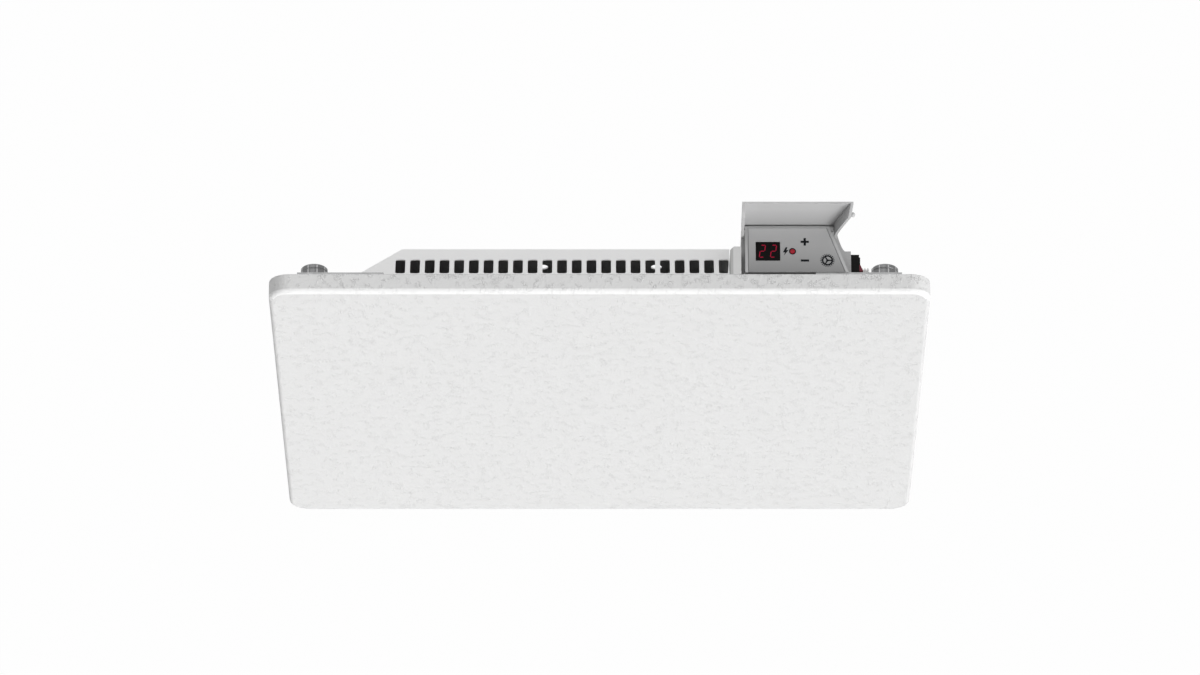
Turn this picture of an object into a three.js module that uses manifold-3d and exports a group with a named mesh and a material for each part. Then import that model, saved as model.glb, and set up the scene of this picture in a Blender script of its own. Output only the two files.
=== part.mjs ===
// Wall panel convector heater: a flat pressed-steel front on a shallow tapered
// convector casing, held off the wall by four round posts, with a moulded control
// unit, its hinged lid and a rocker switch at the upper right.
//
// Millimetres, +Z up. The origin is on the wall plane, at the middle of the front
// panel's width and height. The front faces -Y and the wall is the plane y = 0.

import * as THREE from 'three';
import { mergeVertices } from 'three/addons/utils/BufferGeometryUtils.js';
import Module from 'manifold-3d';

const wasm = await Module();
wasm.setup();

// ---------------------------------------------------------------- dimensions

// Named clearances.
const FIT = 0.3; // between a piece and the pocket or hole that it sits in
const SLIDE = 0.6; // between moving plastic parts
const OVERCUT = 1; // how far a cutting shape runs past the face that it cuts

// Front panel: a pressed tray with a rounded front edge and a return lip.
const PANEL_WIDTH = 450;
const PANEL_HEIGHT = 380;
const PANEL_DEPTH = 14;
const PANEL_SHEET = 1.2;
const PANEL_CORNER_RADIUS = 14;
const PANEL_EDGE_RADIUS = 3;
const PANEL_RETURN_LIP = 12;

// Posts that hold the heater off the wall, and the rails that carry them.
const POST_DIAMETER = 18.6;
const POST_LENGTH = 38.5;
const POST_SIDE_INSET = 27.8; // post's axis to the panel's side
const POST_END_INSET = 78.6; // post's axis to the panel's top or bottom edge
const POST_CHAMFER = 0.8;
const POST_TAP_DIAMETER = 5;
const POST_TAP_DEPTH = 12;
const POST_WALL_BORE = 6.5;
const RAIL_SHEET = 1.5;
const RAIL_WIDTH = 58.5;
const RAIL_SIDE_INSET = 19.5; // rail's outer edge to the panel's side
const RAIL_END_INSET = 1;
const POST_SCREW_DIAMETER = 4.4;
const POST_SCREW_LENGTH = 11;
const POST_SCREW_HEAD_DIAMETER = 9;
const POST_SCREW_HEAD_HEIGHT = 2.6;

// Convector casing behind the panel: a tapered tray with slots above and below.
const CASING_SHEET = 1;
const CASING_DEPTH = 26.8;
const CASING_SIDE_INSET = 60; // casing's side, at its front, to the panel's side
const CASING_TAPER = 29; // how far each side leans in towards the rear
const CASING_TOP_GAP = 0.5; // below the panel's top edge
const CASING_DROP = 17.4; // fall of the sloping top from front to rear
const CASING_CORNER_RADIUS = 2.5;
const CASING_FLANGE_WIDTH = 15;
const CASING_FLANGE_LAP = 2.4; // overlap of the flange with the casing's side
const CASING_FLANGE_END = 24; // flange stops this far short of the casing's ends
const CASING_SCREW_ROWS = 4;
const CASING_SCREW_DIAMETER = 3.4;
const CASING_SCREW_LENGTH = 6;
const CASING_SCREW_HEAD_DIAMETER = 7;
const CASING_SCREW_HEAD_HEIGHT = 1.8;
const SLOT_WIDTH = 6.7;
const SLOT_LENGTH = 17.6;
const SLOT_PITCH = 10;
const SLOT_SIDE_INSET = 29.5; // first slot's middle to the casing's side
const SLOT_LAST_BRIDGE = 0.8; // least metal between the last slot and the wiring box
const SLOT_START = 1; // along the slope from its front edge
const SLOT_CORNER_RADIUS = 1.4;
const HANGING_HOLE_DIAMETER = 7.5;
const HANGING_HOLE_SPACING = 78;
const HANGING_HOLE_DROP = 45; // below the panel's top edge

// Control unit: a moulded housing with a shoulder, on which the lid closes.
const HOUSING_HEIGHT = 88;
const HOUSING_WALL = 2;
const HOUSING_LEDGE = 1.2; // inner ledge that carries the cover
const HOUSING_REAR_GAP = 3.5; // to the wall plane
const FACE_FRONT_WIDTH = 70.2;
const FACE_REAR_WIDTH = 57;
const SHOULDER_DROP = 9.8;
const BODY_LEFT_STEP = 2.4; // lower body's left side beyond the face's
const BODY_RIGHT_STEP = 2.1; // lower body's right side beyond the face's
const UNIT_SIDE_INSET = 53.7; // lower body's right side to the panel's side
const BODY_SIDE_DEPTH = 21.3; // of the flat side that holds the switch
const BULGE_START = 4; // bulge's start, in from the flat side
const BULGE_BELLY = 6.5;
const BULGE_DROP = 1;
const REAR_EDGE_CHAMFER = 1.1; // lets the lid's plate turn past the housing's top rear edge
const BOSS_SIDE = 5;
const VENT_COUNT = 5;
const VENT_WIDTH = 1.8;
const VENT_PITCH = 4.5;
const VENT_OFFSET = 37.4; // first vent, right of the face's left edge
const VENT_END = 8; // plastic left at each end of a vent
const COVER_THICKNESS = 2.4;

// Things on the control face; offsets are measured right of the face's left edge, and
// depths back from the panel's rear edge.
const WINDOW_OFFSET = 15.5;
const WINDOW_DEPTH_CENTRE = 16.9;
const WINDOW_WIDTH = 16.7;
const WINDOW_LENGTH = 14.2;
const WINDOW_LENS_THICKNESS = 1;
const LED_OFFSET = 32.2;
const LED_DEPTH_CENTRE = 16.8;
const LED_DIAMETER = 4.2;
const KEYS = [
  { name: 'up', offset: 40.6, depth: 23.9 },
  { name: 'down', offset: 40.6, depth: 9.9 },
  { name: 'mode', offset: 55.9, depth: 10 },
];
const KEY_SPRING_DIAMETER = 6;
const KEY_SPRING_WALL = 0.8;
const BOARD_DROP = 10; // board's top below the face
const BOARD_THICKNESS = 1.6;

// Lid, shown open; it turns about two pins near the housing's top rear edge.
const LID_PLATE = 1.2;
const LID_WALL = 1.8;
const LID_WALL_DEPTH = 8.6;
const LID_OPEN_ANGLE = 92.5;
const HINGE_DROP = 2.2; // pin centre below the face
const HINGE_INSET = 2; // pin centre in front of the housing's rear wall
const HINGE_PIN_DIAMETER = 2;
const HINGE_BOSS_DIAMETER = 4;
const LID_NUB_DIAMETER = 3.4;
const LID_NUB_INSET = 5; // behind the housing's front
const LID_NUB_RISE = 2.4; // above the wall's lower edge
const LID_TIP_LENGTH = 4.4; // slanted front end of the lid's walls
const LID_TIP_DEPTH = 1;

// Rocker switch and cable gland in the flat right side of the housing.
const SWITCH_DEPTH_CENTRE = 12.8;
const SWITCH_DROP = 17.2;
const SWITCH_BEZEL_LENGTH = 14;
const SWITCH_BEZEL_HEIGHT = 10.4;
const SWITCH_BEZEL_THICKNESS = 5.6;
const SWITCH_BEZEL_END = 0.9; // wall at each end of the rocker's pocket
const SWITCH_BODY_LENGTH = 12.4;
const SWITCH_BODY_HEIGHT = 8.4;
const SWITCH_BODY_DEPTH = 13;
const ROCKER_WIDTH = 7;
const ROCKER_LENGTH = 10.4;
const ROCKER_TILT = 11;
const ROCKER_POCKET_DEPTH = 2; // below the housing's side
const ROCKER_PIN_DIAMETER = 1.6;
const ROCKER_PIN_END = 0.9; // pin beyond each side of the rocker
const ROCKER_PIN_DROP = 2.6; // pin's axis below the bezel's face
const ROCKER_PROUD = 1.9; // rocker's ends above the bezel's face
const ROCKER_DIP = 1.1; // dip at the rocker's middle
const SWITCH_TAB_LENGTH = 6;
const SWITCH_TAB_WIDTH = 4.8;
const SWITCH_TAB_SHEET = 0.8;
const GLAND_DEPTH_CENTRE = 14.4;
const GLAND_DROP = 30;
const GLAND_DIAMETER = 6.6;
const GLAND_NECK_DIAMETER = 6;
const GLAND_REACH = 13;
const GLAND_BORE = 4.4;
const GLAND_RIBS = 4;
const GLAND_RIB_PITCH = 1.9;
const NUT_ACROSS_FLATS = 8.6;
const NUT_THICKNESS = 2.8;

// White wiring box beside the control unit, with the shelf that carries it.
const BOX_WIDTH = 7.5;
const BOX_DEPTH = 20.5;
const BOX_CHAMFER = 2.6;
const BOX_SHEET = 1;
const SHELF_SHEET = 1.5;

// Heating element and its shield, low in the casing.
const ELEMENT_END_GAP = 19; // element's end to the casing's rear corner
const ELEMENT_RISE = 94; // element's axis above the panel's bottom edge
const ELEMENT_DEPTH_CENTRE = 12.5;
const ELEMENT_CORE_DIAMETER = 9;
const FIN_THICKNESS = 0.8;
const FIN_DEPTH = 16;
const FIN_HEIGHT = 44;
const FIN_PITCH = 11.5;
const FIN_END_GAP = 12; // bare core at each end
const FIN_CORNER_RADIUS = 2;
const CUTOUT_OFFSET = 60; // right of the casing's middle
const CUTOUT_BODY_HEIGHT = 5;
const CUTOUT_CAP_HEIGHT = 3;
const CUTOUT_CAP_SHARE = 0.6; // of the body's diameter
const CUTOUT_DROP = 16; // below the shield's top edge
const CUTOUT_TAB_REACH = 12;
const CUTOUT_TAB_WIDTH = 4.8;
const CUTOUT_TAB_SHEET = 0.8;
const ELEMENT_BRACKET_SHEET = 1.5;
const ELEMENT_BRACKET_HEIGHT = 26;
const ELEMENT_BRACKET_INSET = 5; // web's middle in from the element's end
const ELEMENT_BRACKET_FOOT = 12;
const ELEMENT_BRACKET_RIM = 4; // web's front edge in front of the core
const SHIELD_SHEET = 0.6;
const SHIELD_HEIGHT = 108;
const SHIELD_END_GAP = 10; // shield's end short of the element's end
const CUTOUT_DIAMETER = 16;
const LEAD_DIAMETER = 2.4;
const LEAD_HOLE_DIAMETER = 9;
const LEAD_HOLE_OFFSET = 23.4; // right of the face's left edge
const LEAD_DROP = 8; // straight run of a lead where it leaves something
const LEAD_BEND_OUT = 12; // a lead's vertical run beyond the element's end
const LEAD_LONG_DROP = 80;
const LEAD_TURN_RISE = 30;
const LEAD_LAST_RUN = 6;

// ------------------------------------------------------------ derived places

const RAIL_REAR_Y = -POST_LENGTH;
const PANEL_REAR_Y = RAIL_REAR_Y - RAIL_SHEET;
const PANEL_FRONT_Y = PANEL_REAR_Y - PANEL_DEPTH;
const TOP_Z = PANEL_HEIGHT / 2;
const RIGHT_X = PANEL_WIDTH / 2;
const POST_X = RIGHT_X - POST_SIDE_INSET;
const POST_Z = TOP_Z - POST_END_INSET;
const RAIL_OUTER_X = RIGHT_X - RAIL_SIDE_INSET;
const RAIL_INNER_X = RAIL_OUTER_X - RAIL_WIDTH;
const CASING_FRONT_HALF_WIDTH = RIGHT_X - CASING_SIDE_INSET;
const CASING_REAR_HALF_WIDTH = CASING_FRONT_HALF_WIDTH - CASING_TAPER;
const CASING_REAR_Y = PANEL_REAR_Y + CASING_DEPTH;
const CASING_BACK_Y = CASING_REAR_Y - CASING_SHEET; // inner face of the back plate
const CASING_HALF_HEIGHT = TOP_Z - CASING_TOP_GAP;
const CASING_SLOPE = Math.atan2(CASING_DROP, CASING_DEPTH);
const BODY_RIGHT_X = RIGHT_X - UNIT_SIDE_INSET;
const FACE_RIGHT_FRONT_X = BODY_RIGHT_X - BODY_RIGHT_STEP;
const FACE_LEFT_X = FACE_RIGHT_FRONT_X - FACE_FRONT_WIDTH;
const FACE_RIGHT_REAR_X = FACE_LEFT_X + FACE_REAR_WIDTH;
const BODY_LEFT_X = FACE_LEFT_X - BODY_LEFT_STEP;
const BOX_RIGHT_X = BODY_LEFT_X - FIT;
const BOX_LEFT_X = BOX_RIGHT_X - BOX_WIDTH;
const WINDOW_X = FACE_LEFT_X + WINDOW_OFFSET;
const LED_X = FACE_LEFT_X + LED_OFFSET;
const HOUSING_FRONT_Y = RAIL_REAR_Y;
const HOUSING_REAR_Y = -HOUSING_REAR_GAP;
const HOUSING_BOTTOM_Z = TOP_Z - HOUSING_HEIGHT;
const SHOULDER_Z = TOP_Z - SHOULDER_DROP;
const COVER_BOTTOM_Z = TOP_Z - COVER_THICKNESS;
const BOARD_TOP_Z = TOP_Z - BOARD_DROP;
const HINGE_Y = HOUSING_REAR_Y - HINGE_INSET;
const HINGE_Z = TOP_Z - HINGE_DROP;
const SHELF_BOTTOM_Z = HOUSING_BOTTOM_Z - SHELF_SHEET;
const ELEMENT_LENGTH = 2 * (CASING_REAR_HALF_WIDTH - ELEMENT_END_GAP);
const ELEMENT_Y = PANEL_REAR_Y + ELEMENT_DEPTH_CENTRE;
const ELEMENT_Z = ELEMENT_RISE - TOP_Z;
const LEAD_HOLE_X = FACE_LEFT_X + LEAD_HOLE_OFFSET;
const LEAD_HOLE_Y = ELEMENT_Y;
const SWITCH_Y = PANEL_REAR_Y + SWITCH_DEPTH_CENTRE;
const SWITCH_Z = TOP_Z - SWITCH_DROP;
const GLAND_Y = PANEL_REAR_Y + GLAND_DEPTH_CENTRE;
const GLAND_Z = TOP_Z - GLAND_DROP;

// ----------------------------------------------------------------- materials

function finish(colour, roughness, metalness = 0) {
  return { color: colour, roughness, metalness };
}

const WHITE_COAT = finish(0xe8e8e8, 0.62);
const PALE_PAINT = finish(0xdadada, 0.5);
const ZINC = finish(0xa8aaac, 0.42, 0.85);
const STEEL = finish(0x8c8f92, 0.3, 1);
const GREY_PLASTIC = finish(0x9d9e9f, 0.48);
const BLACK_PLASTIC = finish(0x1d1d1f, 0.45);
const RED_PLASTIC = finish(0x8c1a26, 0.3);
const WHITE_NYLON = finish(0xf0efec, 0.5);
const ALUMINIUM = finish(0xb9bcc0, 0.38, 0.9);
const BOARD_GREEN = finish(0x1f5a38, 0.5);
const DARK_GLASS = finish(0x2a1416, 0.12);
const SILICONE = finish(0xa33a2c, 0.6);

// ------------------------------------------------------------ shape helpers

/** An axis-aligned block given by its lowest and highest corners. */
function block(x0, x1, y0, y1, z0, z1) {
  const geometry = new THREE.BoxGeometry(x1 - x0, y1 - y0, z1 - z0);
  return geometry.translate((x0 + x1) / 2, (y0 + y1) / 2, (z0 + z1) / 2);
}

/** A round bar along X, Y or Z between two coordinates on that axis. */
function bar(axis, diameter, from, to, centre, sides = 24) {
  const geometry = new THREE.CylinderGeometry(diameter / 2, diameter / 2, to - from, sides);
  if (axis === 'x') geometry.rotateZ(-Math.PI / 2);
  if (axis === 'z') geometry.rotateX(Math.PI / 2);
  const middle = (from + to) / 2;
  const place = { x: [middle, ...centre], y: [centre[0], middle, centre[1]], z: [...centre, middle] };
  return geometry.translate(...place[axis]);
}

/** An outline in the XY plane, extruded upwards from z0 to z1. */
function prism(outline, z0, z1, curveSegments = 3) {
  const shape = outline instanceof THREE.Shape ? outline : new THREE.Shape(outline);
  const settings = { depth: z1 - z0, bevelEnabled: false, curveSegments };
  return new THREE.ExtrudeGeometry(shape, settings).translate(0, 0, z0);
}

/** A turned body: a profile of [radius, height] points about +Y, starting and ending on the axis. */
function turned(profile, sides = 24) {
  return new THREE.LatheGeometry(profile.map(([r, h]) => new THREE.Vector2(r, h)), sides);
}

/** An outline in the YZ plane, extruded along X from x0 to x1. */
function acrossX(outline, x0, x1, curveSegments = 1) {
  return prism(outline, x0, x1, curveSegments).applyMatrix4(new THREE.Matrix4().makeBasis(
    new THREE.Vector3(0, 1, 0), new THREE.Vector3(0, 0, 1), new THREE.Vector3(1, 0, 0)));
}

/** A rectangle with round corners, centred on the origin. */
function roundedRectangle(halfWidth, halfHeight, radius) {
  const shape = new THREE.Shape();
  const x = halfWidth - radius;
  const y = halfHeight - radius;
  shape.absarc(x, y, radius, 0, Math.PI / 2);
  shape.absarc(-x, y, radius, Math.PI / 2, Math.PI);
  shape.absarc(-x, -y, radius, Math.PI, Math.PI * 1.5);
  shape.absarc(x, -y, radius, Math.PI * 1.5, Math.PI * 2);
  return shape;
}

/** A straight-sided outline moved inwards by a distance (outwards if negative). */
function inset(outline, distance) {
  const area = THREE.ShapeUtils.area(outline);
  const side = Math.sign(area) * distance;
  return outline.map((point, i) => {
    const before = outline[(i + outline.length - 1) % outline.length];
    const after = outline[(i + 1) % outline.length];
    const first = point.clone().sub(before).normalize();
    const second = after.clone().sub(point).normalize();
    const normals = [first, second].map((d) => new THREE.Vector2(-d.y, d.x));
    const sum = normals[0].clone().add(normals[1]);
    const scale = side / (1 + normals[0].dot(normals[1]));
    return point.clone().add(sum.multiplyScalar(scale));
  });
}

/** Outline points from [x, y] pairs. */
function outline(...pairs) {
  return pairs.map(([x, y]) => new THREE.Vector2(x, y));
}

/** A manifold solid from a closed geometry. */
function solid(geometry) {
  const bare = geometry.clone();
  bare.deleteAttribute('normal');
  bare.deleteAttribute('uv');
  const merged = mergeVertices(bare, 1e-4);
  const mesh = new wasm.Mesh({
    numProp: 3,
    vertProperties: new Float32Array(merged.attributes.position.array),
    triVerts: new Uint32Array(merged.index.array),
  });
  return new wasm.Manifold(mesh);
}

/** A geometry from a manifold solid. */
function geometryOf(manifold) {
  const { vertProperties, triVerts } = manifold.getMesh();
  const geometry = new THREE.BufferGeometry();
  geometry.setAttribute('position', new THREE.BufferAttribute(vertProperties, 3));
  geometry.setIndex(new THREE.BufferAttribute(triVerts, 1));
  geometry.computeVertexNormals();
  return geometry;
}

/** Geometries joined into one solid. */
function join(...geometries) {
  return geometries.map(solid).reduce((all, next) => all.add(next));
}

/** A solid with geometries cut out of it. */
function cut(body, ...tools) {
  return tools.map(solid).reduce((rest, tool) => rest.subtract(tool), body);
}

/** Points of a round-cornered rectangle in an XZ plane, for lofting along Y. */
function ring(halfWidth, halfHeight, radius, y, steps) {
  const points = [];
  const corners = [[1, 1, 0], [-1, 1, 1], [-1, -1, 2], [1, -1, 3]];
  for (const [sx, sz, quarter] of corners) {
    for (let i = 0; i <= steps; i++) {
      const angle = (quarter + i / steps) * Math.PI / 2;
      points.push(new THREE.Vector3(
        sx * (halfWidth - radius) + radius * Math.cos(angle),
        y,
        sz * (halfHeight - radius) + radius * Math.sin(angle),
      ));
    }
  }
  return points;
}

/** A closed body through rings of equal count, with its first and last ring capped. */
function loft(rings) {
  const count = rings[0].length;
  const position = rings.flat().flatMap((p) => [p.x, p.y, p.z]);
  const index = [];
  for (let r = 0; r + 1 < rings.length; r++) {
    for (let i = 0; i < count; i++) {
      const a = r * count + i;
      const b = r * count + (i + 1) % count;
      index.push(a, b, a + count, b, b + count, a + count);
    }
  }
  const last = (rings.length - 1) * count;
  for (let i = 1; i + 1 < count; i++) {
    index.push(0, i + 1, i);
    index.push(last, last + i, last + i + 1);
  }
  const geometry = new THREE.BufferGeometry();
  geometry.setAttribute('position', new THREE.Float32BufferAttribute(position, 3));
  geometry.setIndex(index);
  if (signedVolume(geometry) < 0) {
    for (let i = 0; i < index.length; i += 3) [index[i], index[i + 1]] = [index[i + 1], index[i]];
    geometry.setIndex(index);
  }
  return geometry;
}

/** Six times the volume that an indexed geometry's faces enclose, positive if they point outwards. */
function signedVolume(geometry) {
  const { position } = geometry.attributes;
  const corner = () => new THREE.Vector3();
  const [a, b, c] = [corner(), corner(), corner()];
  let sum = 0;
  for (let i = 0; i < geometry.index.count; i += 3) {
    a.fromBufferAttribute(position, geometry.index.getX(i));
    b.fromBufferAttribute(position, geometry.index.getX(i + 1));
    c.fromBufferAttribute(position, geometry.index.getX(i + 2));
    sum += a.dot(b.cross(c));
  }
  return sum;
}

const model = new THREE.Group();

/** Adds one named piece to the model, or to a group within it. */
function piece(name, shape, look, parent = model) {
  const geometry = shape instanceof THREE.BufferGeometry ? shape : geometryOf(shape);
  const mesh = new THREE.Mesh(geometry, new THREE.MeshStandardMaterial(look));
  mesh.name = name;
  parent.add(mesh);
  return mesh;
}

// --------------------------------------------------------------- front panel

/** Rings of one skin of the panel's rounded front edge, from the flat face to the side. */
function edgeRings(wall, steps) {
  const radius = PANEL_EDGE_RADIUS - wall;
  const rings = [];
  for (let i = 0; i <= steps; i++) {
    const angle = (i / steps) * Math.PI / 2;
    const step = wall + radius * (1 - Math.sin(angle));
    const y = PANEL_FRONT_Y + wall + radius * (1 - Math.cos(angle));
    rings.push(panelRing(step, y));
  }
  return rings;
}

/** The panel's outline moved in by a distance, at a given Y. */
function panelRing(step, y) {
  const radius = Math.max(PANEL_CORNER_RADIUS - step, 1);
  return ring(PANEL_WIDTH / 2 - step, PANEL_HEIGHT / 2 - step, radius, y, 6);
}

function frontPanel() {
  const lipFront = PANEL_REAR_Y - PANEL_SHEET;
  return loft([
    ...edgeRings(0, 4),
    panelRing(0, PANEL_REAR_Y),
    panelRing(PANEL_RETURN_LIP, PANEL_REAR_Y),
    panelRing(PANEL_RETURN_LIP, lipFront),
    panelRing(PANEL_SHEET, lipFront),
    ...edgeRings(PANEL_SHEET, 3).reverse(),
  ]);
}

piece('front_panel', frontPanel(), WHITE_COAT);

// ----------------------------------------------------------- rails and posts

/** Casing screw heights, evenly spread along the side flange. */
function casingScrewHeights() {
  const reach = CASING_HALF_HEIGHT - CASING_FLANGE_END - CASING_FLANGE_WIDTH;
  const heights = [];
  for (let i = 0; i < CASING_SCREW_ROWS; i++) {
    heights.push(-reach + (2 * reach * i) / (CASING_SCREW_ROWS - 1));
  }
  return heights;
}

const CASING_SCREW_X = CASING_FRONT_HALF_WIDTH + CASING_FLANGE_WIDTH / 2;

/** Where casing screws go: every row on the left, and the right rows below the control unit. */
function casingScrewPlaces() {
  const places = [];
  for (const side of [-1, 1]) {
    for (const z of casingScrewHeights()) {
      const hidden = side > 0 && z > SHELF_BOTTOM_Z - CASING_SCREW_HEAD_DIAMETER;
      if (!hidden) places.push([side * CASING_SCREW_X, z]);
    }
  }
  return places;
}

function rail(side) {
  const edges = [side * RAIL_INNER_X, side * RAIL_OUTER_X].sort((a, b) => a - b);
  const reach = TOP_Z - RAIL_END_INSET;
  const plate = solid(block(...edges, PANEL_REAR_Y, RAIL_REAR_Y, -reach, reach));
  const holes = [-POST_Z, POST_Z].map((z) =>
    bar('y', POST_SCREW_DIAMETER + 2 * FIT, PANEL_REAR_Y - OVERCUT, RAIL_REAR_Y + OVERCUT,
      [side * POST_X, z]));
  const screwHoles = casingScrewPlaces().filter(([x]) => x * side > 0).map(([x, z]) =>
    bar('y', CASING_SCREW_DIAMETER + 2 * FIT, PANEL_REAR_Y - OVERCUT, RAIL_REAR_Y + OVERCUT, [x, z], 16));
  return cut(plate, ...holes, ...screwHoles);
}

/** A post as turned from bar: chamfered ends, a tapped front end and a bore for the wall stud. */
function post() {
  const r = POST_DIAMETER / 2;
  const half = POST_LENGTH / 2;
  const tap = POST_TAP_DIAMETER / 2;
  const stud = POST_WALL_BORE / 2;
  return turned([
    [0, -half + POST_TAP_DEPTH],
    [tap, -half + POST_TAP_DEPTH],
    [tap, -half],
    [r - POST_CHAMFER, -half],
    [r, -half + POST_CHAMFER],
    [r, half - POST_CHAMFER],
    [r - POST_CHAMFER, half],
    [stud, half],
    [stud, half - POST_TAP_DEPTH],
    [0, half - POST_TAP_DEPTH],
  ], 20);
}

/** A pan-head screw along Y: its head's seat at the origin and its shank towards +Y. */
function screw(diameter, length, headDiameter, headHeight) {
  const r = headDiameter / 2;
  return turned([
    [0, -headHeight],
    [r * 0.62, -headHeight],
    [r, -headHeight * 0.45],
    [r, 0],
    [diameter / 2, 0],
    [diameter / 2, length],
    [0, length],
  ], 10);
}

piece('left_rail', rail(-1), ZINC);
piece('right_rail', rail(1), ZINC);

const POST_PLACES = [
  ['wall_post_upper_left', -POST_X, POST_Z],
  ['wall_post_upper_right', POST_X, POST_Z],
  ['wall_post_lower_left', -POST_X, -POST_Z],
  ['wall_post_lower_right', POST_X, -POST_Z],
];
for (const [name, x, z] of POST_PLACES) {
  piece(name, post(), STEEL).position.set(x, RAIL_REAR_Y + POST_LENGTH / 2, z);
}

for (const [name, x, z] of POST_PLACES) {
  const body = screw(POST_SCREW_DIAMETER, POST_SCREW_LENGTH, POST_SCREW_HEAD_DIAMETER,
    POST_SCREW_HEAD_HEIGHT);
  piece(name.replace('wall_post', 'post_screw'), body, STEEL).position.set(x, PANEL_REAR_Y, z);
}

// -------------------------------------------------------------- rear casing

/** The casing's outer outline moved in by the sheet, at a share of its depth from 0 to 1. */
function casingRing(share, step, y) {
  const taper = CASING_FRONT_HALF_WIDTH - CASING_REAR_HALF_WIDTH;
  const halfWidth = CASING_FRONT_HALF_WIDTH - taper * share - step;
  const halfHeight = CASING_HALF_HEIGHT - CASING_DROP * share - step;
  return ring(halfWidth, halfHeight, CASING_CORNER_RADIUS, y, 3);
}

/** One row of slots through the sloping top (1) or bottom (-1) face. */
function slotRow(side) {
  const along = SLOT_START + SLOT_LENGTH / 2;
  const slot = prism(roundedRectangle(SLOT_WIDTH / 2, SLOT_LENGTH / 2, SLOT_CORNER_RADIUS), -3, 3, 1);
  const [c, s] = [Math.cos(CASING_SLOPE), Math.sin(CASING_SLOPE)];
  const turn = new THREE.Matrix4().makeBasis(
    new THREE.Vector3(1, 0, 0),
    new THREE.Vector3(0, c, -side * s),
    new THREE.Vector3(0, side * s, c),
  );
  slot.applyMatrix4(turn);
  const slots = [];
  const last = BOX_LEFT_X - SLOT_WIDTH / 2 - SLOT_LAST_BRIDGE;
  for (let x = SLOT_SIDE_INSET - CASING_FRONT_HALF_WIDTH; x <= last; x += SLOT_PITCH) {
    const [y, z] = [PANEL_REAR_Y + along * c, CASING_HALF_HEIGHT - along * s];
    slots.push(slot.clone().translate(x, y, side * z));
  }
  return slots;
}

function rearCasing() {
  const rim = PANEL_REAR_Y;
  let tray = solid(loft([
    casingRing(0, 0, rim),
    casingRing(1, 0, CASING_REAR_Y),
  ]));
  tray = cut(tray, loft([
    casingRing(-OVERCUT / CASING_DEPTH, CASING_SHEET, rim - OVERCUT),
    casingRing(1 - CASING_SHEET / CASING_DEPTH, CASING_SHEET, CASING_BACK_Y),
  ]));
  const flangeReach = CASING_HALF_HEIGHT - CASING_FLANGE_END;
  const flangeInner = CASING_FRONT_HALF_WIDTH - CASING_FLANGE_LAP;
  const flangeOuter = CASING_FRONT_HALF_WIDTH + CASING_FLANGE_WIDTH;
  const flangeRear = RAIL_REAR_Y + CASING_SHEET;
  for (const side of [-1, 1]) {
    const edges = [side * flangeInner, side * flangeOuter].sort((a, b) => a - b);
    tray = tray.add(solid(block(...edges, RAIL_REAR_Y, flangeRear, -flangeReach, flangeReach)));
    const railEdges = [side * (RAIL_INNER_X - FIT), side * flangeInner * 1.2].sort((a, b) => a - b);
    tray = cut(tray, block(...railEdges, rim - OVERCUT, RAIL_REAR_Y, -TOP_Z, TOP_Z));
  }
  const holes = casingScrewPlaces().map(([x, z]) =>
    bar('y', CASING_SCREW_DIAMETER + 2 * FIT, RAIL_REAR_Y - OVERCUT, flangeRear + OVERCUT, [x, z], 16));
  const hanging = [-1, 1].map((side) =>
    bar('y', HANGING_HOLE_DIAMETER, CASING_BACK_Y - OVERCUT, CASING_REAR_Y + OVERCUT,
      [side * HANGING_HOLE_SPACING / 2, TOP_Z - HANGING_HOLE_DROP], 24));
  const unitBay = block(BOX_LEFT_X - FIT, RIGHT_X, rim - OVERCUT, 0, SHELF_BOTTOM_Z - FIT,
    TOP_Z + OVERCUT);
  return cut(tray, ...holes, ...hanging, ...slotRow(1), ...slotRow(-1), unitBay);
}

piece('rear_casing', rearCasing(), PALE_PAINT);

casingScrewPlaces().forEach(([x, z], i) => {
  const body = screw(CASING_SCREW_DIAMETER, CASING_SCREW_LENGTH, CASING_SCREW_HEAD_DIAMETER,
    CASING_SCREW_HEAD_HEIGHT).rotateX(Math.PI);
  piece(`casing_screw_${i + 1}`, body, ZINC).position.set(x, RAIL_REAR_Y + CASING_SHEET, z);
});

// ------------------------------------------------------------- wiring box

function wiringBox() {
  const [left, right] = [BOX_LEFT_X, BOX_RIGHT_X];
  const [front, rear] = [PANEL_REAR_Y, PANEL_REAR_Y + BOX_DEPTH];
  const plan = outline(
    [left, front],
    [right, front],
    [right, rear],
    [left + BOX_CHAMFER, rear],
    [left, rear - BOX_CHAMFER],
  );
  const shellPlan = inset(plan, BOX_SHEET);
  const pocket = outline([shellPlan[0].x, front - OVERCUT], [shellPlan[1].x, front - OVERCUT])
    .concat(shellPlan.slice(2));
  const shell = cut(solid(prism(plan, SHELF_BOTTOM_Z, TOP_Z)),
    prism(pocket, SHELF_BOTTOM_Z + BOX_SHEET, TOP_Z - BOX_SHEET));
  const shelf = solid(block(right - BOX_SHEET, BODY_RIGHT_X, HOUSING_FRONT_Y, CASING_REAR_Y,
    SHELF_BOTTOM_Z, HOUSING_BOTTOM_Z));
  return cut(shell.add(shelf), leadHole(SHELF_BOTTOM_Z - OVERCUT, HOUSING_BOTTOM_Z + OVERCUT));
}

/** The hole for the element's leads, through the shelf and the housing's floor. */
function leadHole(z0, z1) {
  return bar('z', LEAD_HOLE_DIAMETER, z0, z1, [LEAD_HOLE_X, LEAD_HOLE_Y], 24);
}

piece('wiring_box', wiringBox(), WHITE_COAT);

// ---------------------------------------------------------- control housing

const FACE_PLAN = outline(
  [FACE_LEFT_X, HOUSING_FRONT_Y],
  [FACE_RIGHT_FRONT_X, HOUSING_FRONT_Y],
  [FACE_RIGHT_REAR_X, HOUSING_REAR_Y],
  [FACE_LEFT_X, HOUSING_REAR_Y],
);

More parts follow.
